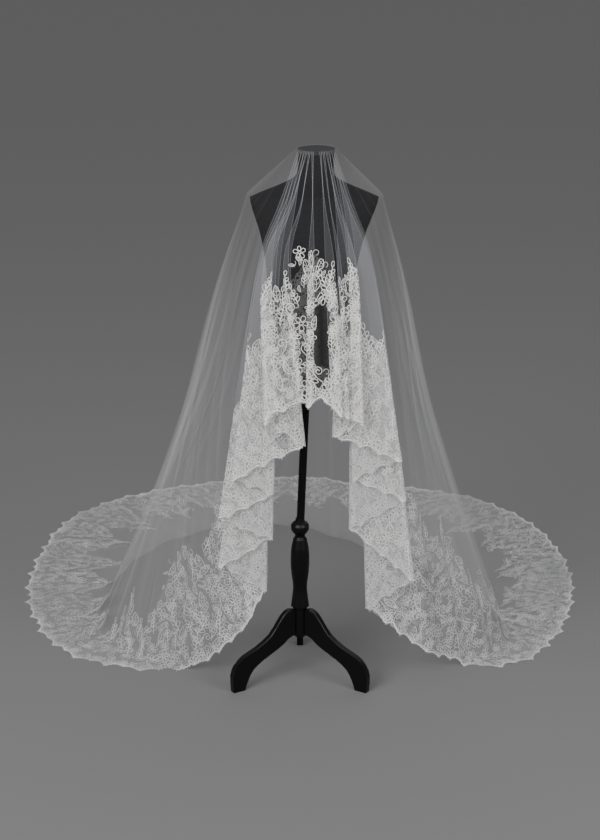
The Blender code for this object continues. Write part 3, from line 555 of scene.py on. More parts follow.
@dataclass
class VeilSheet:
    """The whole sheet as a fine grid, and places on it from distances along and up from the hem."""

    sizes: SheetSizes = field(default_factory=SheetSizes)
    fall_steps: int = 24
    flat_step: float = 0.012
    samples: int = 24
    rows: tuple[int, int, int, int] = (9, 30, 8, 22)
    up_step: float = 0.008
    up_count: int = 72
    corner_reach: float = 0.030
    scallop_spacing: float = 0.056
    scallop_depth: float = 0.011
    point_depth: float = 0.012
    front_cover: float = 0.023
    shoulder_cover: float = 0.023
    upper_cover: float = 0.070
    fall_cover: float = 0.100
    edge_cover: float = 0.26
    # Painted highlight: cover added in a narrow band along each soft crease
    crease_highlight_cover: float = 0.08
    streak_cover: float = 0.08
    front_fill: float = 0.12
    cascade_fill: float = 0.52
    fall_fill: float = 0.10
    # Share of the lit cord colour on the folds, the sides and the train; the rest is the painted shade grey
    front_painted_light: float = 0.85
    side_painted_light: float = 0.55
    train_light: float = 0.0
    # Left open on the front fall: middle X and Z, and half the width and the height
    open_net: tuple[float, float, float, float] = (0.063, 1.090, 0.019, 0.090)
    # Soft creases of the hanging cloth: place in rows of falls, half width, outward run, and the share of
    # the way down from the shoulder where it starts
    fall_creases: tuple[tuple[float, float, float, float], ...] = (
        (2.55, 0.10, 0.005, 0.10), (3.30, 0.16, 0.007, 0.05), (4.62, 0.12, 0.006, 0.15),
        (5.35, 0.20, 0.008, 0.0), (6.48, 0.14, 0.006, 0.30), (7.62, 0.18, 0.007, 0.10),
        (8.35, 0.12, 0.005, 0.20), (9.58, 0.20, 0.008, 0.05), (10.7, 0.15, 0.007, 0.25),
        (11.4, 0.20, 0.006, 0.0), (12.6, 0.14, 0.008, 0.15), (13.4, 0.18, 0.006, 0.10),
        (14.6, 0.12, 0.007, 0.0), (15.5, 0.20, 0.006, 0.20), (16.7, 0.14, 0.007, 0.05),
        (17.4, 0.16, 0.006, 0.25), (18.6, 0.20, 0.008, 0.0), (19.5, 0.12, 0.006, 0.10),
        (20.6, 0.18, 0.007, 0.05), (21.5, 0.12, 0.005, 0.20),
    )
    # Fine streaks of the net, as waves across the falls: rate and shift
    streaks: tuple[tuple[float, float], ...] = ((7.1, 0.3), (11.7, 1.9), (17.3, 4.1), (29.9, 2.2))
    # Low ridges of the train: place in rows of falls, half width, height, and its lean for each metre out
    train_creases: tuple[tuple[float, float, float, float], ...] = (
        (3.6, 0.14, 0.005, 0.8), (4.8, 0.20, 0.007, -0.6), (6.2, 0.16, 0.006, 0.9), (7.4, 0.22, 0.008, -0.4),
        (8.7, 0.15, 0.006, 0.7), (10.1, 0.22, 0.008, -0.8), (11.6, 0.18, 0.006, 0.5),
        (12.9, 0.24, 0.009, -0.5), (14.2, 0.16, 0.006, 0.8), (15.6, 0.22, 0.008, -0.7),
        (16.9, 0.18, 0.006, 0.6), (18.3, 0.22, 0.008, -0.9),
        (19.6, 0.16, 0.006, 0.7), (20.7, 0.20, 0.006, -0.6),
    )

    def rim_place(self, angle_deg: float) -> np.ndarray:
        """A place on the cap's rim. The angle is 0 at the front and grows to the left.

        Args:
            angle_deg: the angle round the cap.

        Returns:
            The place.
        """
        angle = math.radians(angle_deg)
        radius = self.sizes.rim_radius
        x = self.sizes.cap_x - radius * math.sin(angle)
        return np.array((x, -radius * math.cos(angle), self.sizes.rim_z))

    def fold_line(self, side: Side, index: int, turn_deg: float) -> tuple[np.ndarray, float]:
        """One line on the turn of a fold.

        Args:
            side: side of the front.
            index: number of the fold's turn.
            turn_deg: angle round the turn, from -90 to 90.

        Returns:
            The line's places and the depth of its lace.
        """
        sizes = self.sizes
        table = sizes.folds_left if side is Side.LEFT else sizes.folds_right
        rows = [dict(zip(sizes.fold_fields, row)) for row in table]
        row = rows[index]
        before = rows[index - 1] if index else {"depth": 0.0, "chest_depth": 0.0}
        last = index + 1 == len(rows)
        after = row if last else rows[index + 1]
        outward = side.value if index % 2 == 0 else -side.value
        share = 0.5 if last else 0.25
        radius = share * (after["depth"] - before["depth"])
        chest_radius = share * (after["chest_depth"] - before["chest_depth"])
        angle = math.radians(turn_deg)
        back, up = math.sin(angle), 1.0 - math.cos(angle)
        along = index + 0.125 + 0.75 * (turn_deg + 90.0) / 180.0
        rim_deg = sizes.rim_from_deg + (sizes.rim_to_deg - sizes.rim_from_deg) / len(rows) * along
        rim = self.rim_place(-side.value * rim_deg)
        chest = np.array((row["chest_x"] - outward * chest_radius * up,
                          sizes.chest_y + row["chest_depth"] + chest_radius * back, sizes.chest_z))
        edge = np.array(sizes.falls[0 if side is Side.LEFT else -1][1])
        part = along / len(rows)
        plain = np.array((sizes.middle_chest_x, sizes.chest_y, sizes.chest_z)) * (1.0 - part) + edge * part
        gather = 0.5 * (rim + plain) + sizes.gather_fold * (chest - plain)
        foot = np.array((row["x"] - outward * radius * up,
                         sizes.foremost_y + row["depth"] + radius * back, row["z"]))
        return np.array((rim, gather, chest, foot)), row["lace"]

    def fold_columns(self, side: Side) -> tuple[Columns, int]:
        """All lines of the folds from the middle of the front out, and which of them is the front's seam.

        Args:
            side: side of the front.

        Returns:
            The lines, and the number of the seam's line.
        """
        out = Columns()
        seam = 0
        for index in range(len(self.sizes.folds_left)):
            turn = [self.fold_line(side, index, -90.0 + 180.0 * k / TURN_OF_LINES)
                    for k in range(TURN_OF_LINES + 1)]
            if out.places:
                start, end = out.places[-1], turn[0][0]
                parts = max(2, 2 * int(np.linalg.norm(start[3] - end[3]) / self.flat_step / 2.0))
                before = out.lace[-1]
                for step in range(1, parts):
                    share = step / parts
                    lace = before * (1.0 - share) + turn[0][1] * share
                    out.add(start * (1.0 - share) + end * share, None, lace, 0.0, 2)
                    if index == self.sizes.seam_fold + 1 and 2 * step == parts:
                        seam = len(out.places) - 1
            for k, (places, lace) in enumerate(turn):
                out.add(places, None, lace, math.cos(math.pi * (k / TURN_OF_LINES - 0.5)), 2)
        return out, seam

    def fall_columns(self) -> Columns:
        """All lines of the sides and the back, smooth between the rows of falls, with their soft folds.

        Returns:
            The lines.
        """
        falls = self.sizes.falls
        stacks = []
        for rim_deg, shoulder, middle, foot, hem, _, _ in falls:
            end = foot if hem is None else (*hem, 0.0)
            halfway = (*middle, self.sizes.middle_height)
            stacks.append(np.array((self.rim_place(rim_deg), shoulder, halfway, foot, end)))
        lines, waves, laces, has_hem = [], [], [], []
        for k in range(len(falls) - 1):
            four = stacks[max(k - 1, 0)], stacks[k], stacks[k + 1], stacks[min(k + 2, len(falls) - 1)]
            for step in range(self.fall_steps):
                t = step / self.fall_steps
                lines.append(smooth_between(four, t))
                waves.append((falls[k][5] * (1 - t) + falls[k + 1][5] * t) * math.cos(2.0 * math.pi * t))
                laces.append(falls[k][6] * (1 - t) + falls[k + 1][6] * t)
                has_hem.append(falls[k][4] is not None and (falls[k + 1][4] is not None or step == 0))
        lines.append(stacks[-1])
        waves.append(0.0)
        laces.append(falls[-1][6])
        has_hem.append(False)
        stack = np.array(lines)
        run = np.gradient(stack, axis=0)
        outward = unit(np.stack([-run[..., 1], run[..., 0], np.zeros(run.shape[:2])], axis=-1))
        wave = np.array(waves)[:, None]
        stack[:, 2] += outward[:, 2] * wave
        stack[:, 3] += outward[:, 3] * wave * 0.5
        flags = np.array(has_hem)
        stack[:, 3:, 2] = np.where(flags[:, None], FLOOR_Z, np.maximum(stack[:, 3:, 2], FLOOR_Z))
        ends = np.where(flags[:, None], stack[:, 4], stack[:, 3])
        above = np.where(flags[:, None], stack[:, 3], stack[:, 2])
        spacing_above, spacing = (np.linalg.norm(np.gradient(row, axis=0), axis=1) for row in (above, ends))
        share = spacing_above / spacing
        phase = running(ends) / self.sizes.peak_spacing
        peak = 1.0 - 4.0 * np.abs(phase - np.floor(phase) - 0.5)
        reach = np.minimum(1.0, share)
        lace = np.array(laces) + self.sizes.border_peak * peak * reach
        notch = self.sizes.notch * 0.5 * (1.0 - peak) * reach
        aside = (phase - np.floor(phase) - 0.5) * self.sizes.peak_spacing
        out = Columns()
        for i, places in enumerate(stack):
            out.add(places[:4], places[4] if flags[i] else None, float(lace[i]), 0.0, 1, float(notch[i]),
                    float(aside[i]))
        return out

    def paths(self, columns: Columns) -> tuple[np.ndarray, np.ndarray, np.ndarray]:
        """Smooth paths down all lines.

        Args:
            columns: the lines.

        Returns:
            Points of each path, and the distances from the rim of its shoulder and of its foot.
        """
        places = np.array(columns.places)
        steps = np.sqrt(np.linalg.norm(np.diff(places, axis=1), axis=2))
        chords = np.concatenate([np.zeros((len(places), 1)), np.cumsum(steps, axis=1)], axis=1)
        padded, knots = with_ends(places), with_ends(chords)
        points = []
        for k in range(places.shape[1] - 1):
            p = [padded[:, k + i] for i in range(4)]
            t = [knots[:, k + i][:, None] for i in range(4)]
            for step in range(self.samples):
                s = t[1] + (t[2] - t[1]) * step / self.samples
                a1 = (t[1] - s) / (t[1] - t[0]) * p[0] + (s - t[0]) / (t[1] - t[0]) * p[1]
                a2 = (t[2] - s) / (t[2] - t[1]) * p[1] + (s - t[1]) / (t[2] - t[1]) * p[2]
                a3 = (t[3] - s) / (t[3] - t[2]) * p[2] + (s - t[2]) / (t[3] - t[2]) * p[3]
                b1 = (t[2] - s) / (t[2] - t[0]) * a1 + (s - t[0]) / (t[2] - t[0]) * a2
                b2 = (t[3] - s) / (t[3] - t[1]) * a2 + (s - t[1]) / (t[3] - t[1]) * a3
                smooth = (t[2] - s) / (t[2] - t[1]) * b1 + (s - t[1]) / (t[2] - t[1]) * b2
                share = step / self.samples
                pull = (self.sizes.taut, self.sizes.taut * (1.0 - share) ** 2, 0.0)[k]
                points.append(smooth * (1.0 - pull)
                              + (places[:, k] * (1.0 - share) + places[:, k + 1] * share) * pull)
        points.append(places[:, -1])
        for step in range(1, self.samples + 1):
            share = step / self.samples
            ends = [p[-1] if hem is None else p[-1] * (1 - share) + hem * share
                    for p, hem in zip(columns.places, columns.hems)]
            points.append(np.array(ends))
        path = np.stack(points, axis=1)
        path[..., 2] = np.maximum(path[..., 2], FLOOR_Z)
        run = runs_down(path)
        marks = np.array([run[i, at * self.samples] for i, at in enumerate(columns.shoulder_at)])
        return path, marks, run[:, 3 * self.samples]

    def build(self) -> None:
        """Works out the grid, the way up from the hem, and where the stretches begin."""
        sizes = self.sizes
        left, left_seam = self.fold_columns(Side.LEFT)
        right, right_seam = self.fold_columns(Side.RIGHT)
        falls = self.fall_columns()
        rim, chest = self.rim_place(0.0), np.array((sizes.middle_chest_x, sizes.chest_y, sizes.chest_z))
        foot = np.array((sizes.middle_x, sizes.foremost_y, sizes.middle_z))
        start = np.array((rim, 0.5 * (rim + chest), chest, foot))
        ring = Columns()
        ring.extend(right, backwards=True)
        ring.add(start, None, sizes.middle_lace, 0.0, 2)
        middle = len(ring.places) - 1
        ring.extend(left)
        self.fall_first = len(ring.places)
        ring.extend(falls)
        right_count = len(right.places)
        cut = right_count - 1 - right_seam
        turned = Columns()
        turned.extend(ring)
        for name in COLUMN_LISTS:
            values = getattr(turned, name)
            setattr(turned, name, values[cut:] + values[:cut + 1])
        self.fall_first -= cut
        self.fall_last = self.fall_first + len(falls.places) - 1
        self.left_seam = middle + 1 + left_seam - cut
        self.columns = turned
        self.count = len(turned.places)
        self.paths_of, self.shoulder, self.foot = self.paths(turned)
        self.shape_paths()
        self.lay_rows()
        self.lay_up()
        LOG.info("sheet of %d lines, hem %.2f m", self.count, self.hem_run[-1])

    def fall_place(self) -> np.ndarray:
        """Each line's place in rows of falls, and -1 on the folds.

        Returns:
            One value for each line.
        """
        index = np.arange(self.count, dtype=float)
        place = (index - self.fall_first) / self.fall_steps
        return np.where((index >= self.fall_first) & (index <= self.fall_last), place, -1.0)

    def shape_paths(self) -> None:
        """Rounds the turn at the foot, and lays the soft creases in."""
        path = self.paths_of
        run = runs_down(path)
        hem = np.array([place is not None for place in self.columns.hems])
        near = np.exp(-((run - self.foot[:, None]) / self.corner_reach) ** 2) * hem[:, None]
        for _ in range(6):
            soft = path.copy()
            soft[:, 1:-1] = 0.25 * path[:, :-2] + 0.5 * path[:, 1:-1] + 0.25 * path[:, 2:]
            path = path * (1 - near[..., None]) + soft * near[..., None]
        place = self.fall_place()[:, None]
        drop = np.maximum(self.foot - self.shoulder, 0.1)[:, None]
        down = np.clip((run - self.shoulder[:, None]) / drop, 0.0, 1.3)
        across = np.gradient(path, axis=0)
        outward = unit(np.stack([-across[..., 1], across[..., 0], np.zeros(across.shape[:2])], axis=-1))
        self.crease = np.zeros(run.shape)
        for at, width, depth, start in self.fall_creases:
            wave = np.exp(-((place - at) / width) ** 2)
            strength = np.clip((down - start) / 0.3, 0.0, 1.0) * np.clip((1.04 - down) / 0.1, 0.0, 1.0)
            path = path + outward * (wave * strength * depth)[..., None]
            # Painted highlight: a narrow band of more cover along the crest of each soft crease
            line = np.exp(-((place - at) / (0.35 * width)) ** 2)
            fade = np.clip((down - start) / 0.2, 0.0, 1.0) * np.clip((1.15 - down) / 0.2, 0.0, 1.0)
            self.crease += self.crease_highlight_cover * line * fade
        out = np.clip(run - self.foot[:, None], 0.0, None)
        for at, width, height, lean in self.train_creases:
            wave = np.exp(-((place + lean * out - at) / width) ** 2) * hem[:, None]
            strength = np.clip(out / 0.08, 0.0, 1.0) * np.clip((run[:, -1:] - run) / 0.10, 0.15, 1.0)
            path[..., 2] += wave * strength * height
        path[..., 2] = np.maximum(path[..., 2], FLOOR_Z)
        self.crease += np.array(self.columns.turn)[:, None] ** 4 * self.edge_cover
        from_end = np.minimum(place, len(self.sizes.falls) - 1 - place)
        fall = np.clip(from_end / 1.5 + 0.2, 0.0, 1.0) * (place >= 0.0)
        waves = sum(np.sin(place * rate + shift) for rate, shift in self.streaks) / len(self.streaks)
        streak = np.clip(waves + 0.15, 0.0, 1.0) ** 1.5 * np.clip(1.25 - down, 0.0, 1.0)
        beside = np.clip(from_end - 2.0, 0.0, 1.0)
        upper = self.shoulder_cover + (self.upper_cover - self.shoulder_cover) * beside
        hanging = upper + (self.fall_cover - upper) * np.clip(1.5 * down, 0.0, 1.0)
        hanging = hanging + self.streak_cover * streak * np.clip(2.0 * down + 0.25, 0.0, 1.0)
        self.crease += fall * (hanging - self.front_cover) + self.front_cover
        self.paths_of = path
        self.run = runs_down(path)

    def at(self, column: int, distances: np.ndarray) -> tuple[np.ndarray, np.ndarray]:
        """Places on one line at distances from the rim, and the crease there.

        Args:
            column: number of the line.
            distances: distances from the rim.

        Returns:
            The places, and how much more the cloth covers at each.
        """
        run, path = self.run[column], self.paths_of[column]
        places = np.stack([np.interp(distances, run, path[:, axis]) for axis in range(3)], axis=1)
        return places, np.interp(distances, run, self.crease[column])

    def lay_rows(self) -> None:
        """The grid of the sheet, in four stretches down each line, with the scalloped hem."""
        ends = np.array([self.paths_of[i, -1] for i in range(self.count)])
        self.hem_run = running(ends)
        self.lace_depth = np.array(self.columns.lace)
        rows, further = np.array(self.sizes.drawn_further).T
        self.drawn_depth = self.lace_depth - np.array(self.columns.notch)
        self.drawn_depth = self.drawn_depth + np.interp(self.fall_place(), rows, further)
        self.stops = []
        grid, crease = [], []
        for i in range(self.count):
            end = self.run[i, -1]
            edge = end - self.lace_depth[i]
            foot = end - self.sizes.lifted_share * self.lace_depth[i]
            if self.columns.hems[i] is not None:
                foot = self.foot[i]
            over = self.sizes.change_over
            first, second = min(edge, foot), max(edge, foot)
            if second - first < 2 * over:
                first, second = 0.5 * (first + second) - over, 0.5 * (first + second) + over
            second = min(second, end - over)
            first = min(first, second - over)
            shoulder = min(self.shoulder[i], first - self.sizes.least_shoulder)
            tip = end - float(self.scallop(self.hem_run[i]))
            stops = (0.0, shoulder, first, second, tip)
            distances = np.concatenate([np.linspace(stops[k], stops[k + 1], self.rows[k] + 1)[1 if k else 0:]
                                        for k in range(4)])
            places, creased = self.at(i, distances)
            self.stops.append(distances)
            grid.append(places)
            crease.append(creased)
        self.grid = np.array(grid)
        self.grid_crease = np.array(crease)
        self.grid_up = self.run[:, -1:] - np.array(self.stops)

    def scallop(self, along: np.ndarray | float) -> np.ndarray:
        """How far up from the outermost line of the hem its scalloped edge lies, uneven from tip to tip.

        Args:
            along: distances along the hem.

        Returns:
            How far up the edge is at each.
        """
        place = np.interp(along, self.hem_run, self.fall_place())
        train = np.clip(np.minimum(place, len(self.sizes.falls) - 1 - place) - 1.0, 0.0, 1.0)
        depth = self.scallop_depth * (1.0 + 0.35 * np.sin(np.asarray(along) * 31.0))
        turn = math.pi * np.asarray(along) / self.scallop_spacing
        return depth * np.abs(np.sin(turn)) + self.point_depth * train * np.abs(np.sin(0.5 * turn))

    def lay_up(self) -> None:
        """The places at even distances up from the hem, with the normals."""
        ups = np.arange(self.up_count) * self.up_step
        self.up = np.array([self.at(i, self.run[i, -1] - ups)[0] for i in range(self.count)])
        across = np.gradient(self.up, axis=0)
        rise = np.gradient(self.up, axis=1)
        self.up_normal = unit(np.cross(rise, across))

    def place(self, along: np.ndarray, up: np.ndarray) -> tuple[np.ndarray, np.ndarray]:
        """Places and normals on the sheet.

        Args:
            along: distances along the hem.
            up: distances up from the hem.

        Returns:
            The places and the outward normals.
        """
        column = np.interp(along, self.hem_run, np.arange(self.count))
        row = np.clip(up / self.up_step, 0.0, self.up_count - 1.001)
        i = np.minimum(column.astype(int), self.count - 2)
        j = row.astype(int)
        a, b = (column - i)[:, None], (row - j)[:, None]

        def mixed(table: np.ndarray) -> np.ndarray:
            """Bilinear value of a table at the places."""
            low = table[i, j] * (1 - a) + table[i + 1, j] * a
            high = table[i, j + 1] * (1 - a) + table[i + 1, j + 1] * a
            return low * (1 - b) + high * b

        return mixed(self.up), unit(mixed(self.up_normal))

    def in_open_net(self, places: np.ndarray) -> np.ndarray:
        """Whether places lie in the net that is left open on the front fall.

        Args:
            places: the places, from the stand's axis.

        Returns:
            True for each that lies in it.
        """
        x, z = places[..., 0], places[..., 2]
        middle_x, middle_z, half_width, half_height = self.open_net
        return ((x - middle_x) / half_width) ** 2 + ((z - middle_z) / half_height) ** 2 < 1.0

    def fill(self) -> np.ndarray:
        """How dense the lace's filling is on each line.

        Returns:
            One value for each line.
        """
        first, last = self.fall_first, self.fall_last
        at = (0, self.left_seam - 8, self.left_seam + 8, first - 4, first + 30, last - 30, last + 4,
              self.count - 9, self.count - 1)
        values = (self.front_fill, self.front_fill, self.cascade_fill, self.cascade_fill, self.fall_fill,
                  self.fall_fill, self.cascade_fill, self.cascade_fill, self.front_fill)
        return np.interp(np.arange(self.count), at, values)

    def light(self) -> np.ndarray:
        """How lit the cords are painted on each line, between the painted shade grey and the lit ivory: full on
        the folds, less on the falls and the train.

        Returns:
            One value for each line.
        """
        first, last = self.fall_first, self.fall_last
        two = 2 * self.fall_steps
        at = (0, self.left_seam, first, first + two, last - two, last, self.count - 1)
        front, side, train = self.front_painted_light, self.side_painted_light, self.train_light
        values = (front, front, side, train, train, side, front)
        return np.interp(np.arange(self.count), at, values)

    def stretches(self) -> dict[str, tuple[int, int]]:
        """First and last line of each stretch of the hem.

        Returns:
            The two numbers by the stretch's name.
        """
        side = self.sizes.side_end * self.fall_steps
        split = self.sizes.train_split * self.fall_steps
        left_end, right_start = self.fall_first + side, self.fall_last - side
        return {
            "front": (0, self.left_seam), "cascade_left": (self.left_seam, self.fall_first),
            "side_left": (self.fall_first, left_end), "train_left": (left_end, left_end + split),
            "train_back": (left_end + split, right_start - split),
            "train_right": (right_start - split, right_start),
            "side_right": (right_start, self.fall_last), "cascade_right": (self.fall_last, self.count - 1),
        }


# Meshes


def make_mesh(name: str, points: np.ndarray, faces: np.ndarray,
              material: bpy.types.Material) -> bpy.types.Object:
    """A smooth mesh piece from arrays.

    Args:
        name: name of the piece.
        points: its points, written from the stand's axis.
        faces: its faces, all with the same number of corners.
        material: its material.

    Returns:
        The object, linked to the scene.
    """
    mesh = bpy.data.meshes.new(name)
    placed = np.array(points, dtype=np.float64)
    placed[:, 1] += GROUND_SHIFT_Y
    corners = faces.shape[1]
    mesh.vertices.add(len(placed))
    mesh.vertices.foreach_set("co", placed.ravel())
    mesh.loops.add(faces.size)
    mesh.loops.foreach_set("vertex_index", faces.ravel().astype(np.int32))
    mesh.polygons.add(len(faces))
    mesh.polygons.foreach_set("loop_start", np.arange(0, faces.size, corners, dtype=np.int32))
    mesh.update(calc_edges=True)
    mesh.validate()
    mesh.shade_smooth()
    mesh.materials.append(material)
    piece = bpy.data.objects.new(name, mesh)
    bpy.context.collection.objects.link(piece)
    return piece


def set_values(piece: bpy.types.Object, name: str, values: np.ndarray) -> None:
    """Gives a piece a point attribute."""
    attribute = piece.data.attributes.new(name, "FLOAT", "POINT")
    attribute.data.foreach_set("value", values.ravel().astype(np.float32))


def set_uv(piece: bpy.types.Object, values: np.ndarray) -> None:
    """Gives a piece a UV map from values on its points.

    Args:
        piece: the piece.
        values: one pair for each point.
    """
    layer = piece.data.uv_layers.new(name="cloth")
    corners = np.empty(len(piece.data.loops), dtype=np.int32)
    piece.data.loops.foreach_get("vertex_index", corners)
    layer.data.foreach_set("uv", values[corners].ravel().astype(np.float32))


def grid_faces(columns: int, rows: int) -> np.ndarray:
    """Faces of a grid whose points run down each column in turn, facing outwards.

    Args:
        columns: how many columns.
        rows: how many points in each.

    Returns:
        The faces.
    """
    i, j = np.meshgrid(np.arange(columns - 1), np.arange(rows - 1), indexing="ij")
    a = (i * rows + j).ravel()
    return np.stack([a, a + 1, a + rows + 1, a + rows], axis=1)


def width_across(part: np.ndarray) -> float:
    """Greatest width of a stretch of the sheet, measured square to the lines that run down it.

    Args:
        part: the stretch's grid of points.

    Returns:
        The width in metres.
    """
    down = unit(np.gradient(part, axis=1))
    step = np.diff(part, axis=0)
    middle = unit(down[1:] + down[:-1])
    square = step - np.sum(step * middle, axis=2, keepdims=True) * middle
    return float(np.linalg.norm(square, axis=2).sum(axis=0).max())


@dataclass
class Cloth:
    """The shells of the veil: tulle, and the ground of the lace."""

    sheet: VeilSheet
    tulle: bpy.types.Material
    ground: bpy.types.Material
    edge_reach: float = 0.030

    def piece(self, name: str, columns: tuple[int, int], rows: tuple[int, int],
              lace: bool) -> bpy.types.Object:
        """One stretch of the sheet as a shell.

        Args:
            name: name of the piece.
            columns: its first and last line.
            rows: its first and last row.
            lace: whether it is the ground of the lace.

        Returns:
            The piece.
        """
        sheet = self.sheet
        across, down = slice(columns[0], columns[1] + 1), slice(rows[0], rows[1] + 1)
        part = sheet.grid[across, down]
        width, height = part.shape[:2]
        plain = not lace and "train" not in name and "side" not in name
        # The tulle of the sides and the train takes the lace ground finish, with its painted shade grey
        material = self.tulle if plain else self.ground
        made = make_mesh(name, part.reshape(-1, 3), grid_faces(width, height), material)
        set_values(made, "cover", sheet.grid_crease[across, down])
        steps = np.linalg.norm(np.diff(part, axis=0), axis=2)
        along = np.concatenate([np.zeros((1, height)), np.cumsum(steps, axis=0)], axis=0)
        up = sheet.grid_up[across, down]
        set_uv(made, np.stack([along, up], axis=-1).reshape(-1, 2))
        depth = sheet.drawn_depth[across][:, None]
        set_values(made, "inside", np.clip((depth - up) / self.edge_reach, -1.0, 2.0))
        fill = np.repeat(sheet.fill()[across][:, None], height, axis=1)
        if name.endswith("front"):
            fill = np.where(sheet.in_open_net(part), 0.0, fill)
        set_values(made, "fill", fill)
        lengths = np.linalg.norm(np.diff(part, axis=1), axis=2).sum(axis=1)
        flat = (width_across(part), float(lengths.max()))
        corner = part[1:, 1:] - part[:-1, :-1]
        other = part[:-1, 1:] - part[1:, :-1]
        area = float(0.5 * np.linalg.norm(np.cross(corner, other), axis=2).sum())
        self.declare(made, name, flat, area)
        return made

    def declare(self, made: bpy.types.Object, name: str, flat: tuple[float, float], area: float) -> None:
        """Logs the size that a stretch was cut to, hangs it on the root and hides the CAD node that it stands
        for.

        Args:
            made: the piece.
            name: its name.
            flat: greatest width and length.
            area: area of the drawn cloth.
        """
        node = name.replace("tulle_train", "train").replace("tulle_", "veil_")
        node = node.replace("lace_ground_", "lace_")
        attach(made, "root")
        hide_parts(node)
        LOG.info("%s is cut %.3f by %.3f m, %.4f m2, %.2f of the rectangle", name, flat[0], flat[1], area,
                 area / (flat[0] * flat[1]))

    def build(self) -> None:
        """All stretches."""
        rows = np.cumsum((0, *self.sheet.rows))
        stretches = self.sheet.stretches()
        hanging = [name for name in stretches if not name.startswith("train")]
        for name in hanging:
            self.piece("tulle_" + name, stretches[name], (0, rows[2]), lace=False)
            self.piece("lace_ground_" + name, stretches[name], (rows[2], rows[4]), lace=True)
        back = (stretches["train_left"][0], stretches["train_right"][1])
        self.piece("tulle_back", back, (0, rows[2]), lace=False)
        for name in ("train_left", "train_back", "train_right"):
            self.piece("tulle_" + name, stretches[name], (rows[2], rows[3]), lace=False)
            self.piece("lace_ground_" + name, stretches[name], (rows[3], rows[4]), lace=True)
        self.crown()

    def crown(self) -> None:
        """The tulle on the cap, which runs into the first row of the sheet."""
        rim = self.sheet.grid[:, 0]
        centre = np.array((self.sheet.sizes.cap_x, 0.0, 0.0))
        levels = ((0.02, 1.5584), (0.35, 1.5582), (0.60, 1.5575), (0.80, 1.5566), (0.93, 1.5558), (1.0, 0.0))
        rings = []
        for share, height in levels:
            ring = centre + (rim - centre) * np.array((share, share, 0.0))
            ring[:, 2] = height if share < 1.0 else rim[:, 2]
            rings.append(ring)
        part = np.stack(rings, axis=1)
        made = make_mesh("tulle_crown", part.reshape(-1, 3), grid_faces(len(part), len(levels)), self.tulle)
        set_values(made, "cover", np.full(part.shape[:2], self.sheet.front_cover))
        set_uv(made, part[..., :2].reshape(-1, 2))
        size = 2.0 * self.sheet.sizes.rim_radius
        self.declare(made, "tulle_crown", (size, size), math.pi / 4.0 * size * size)


# Lace cords


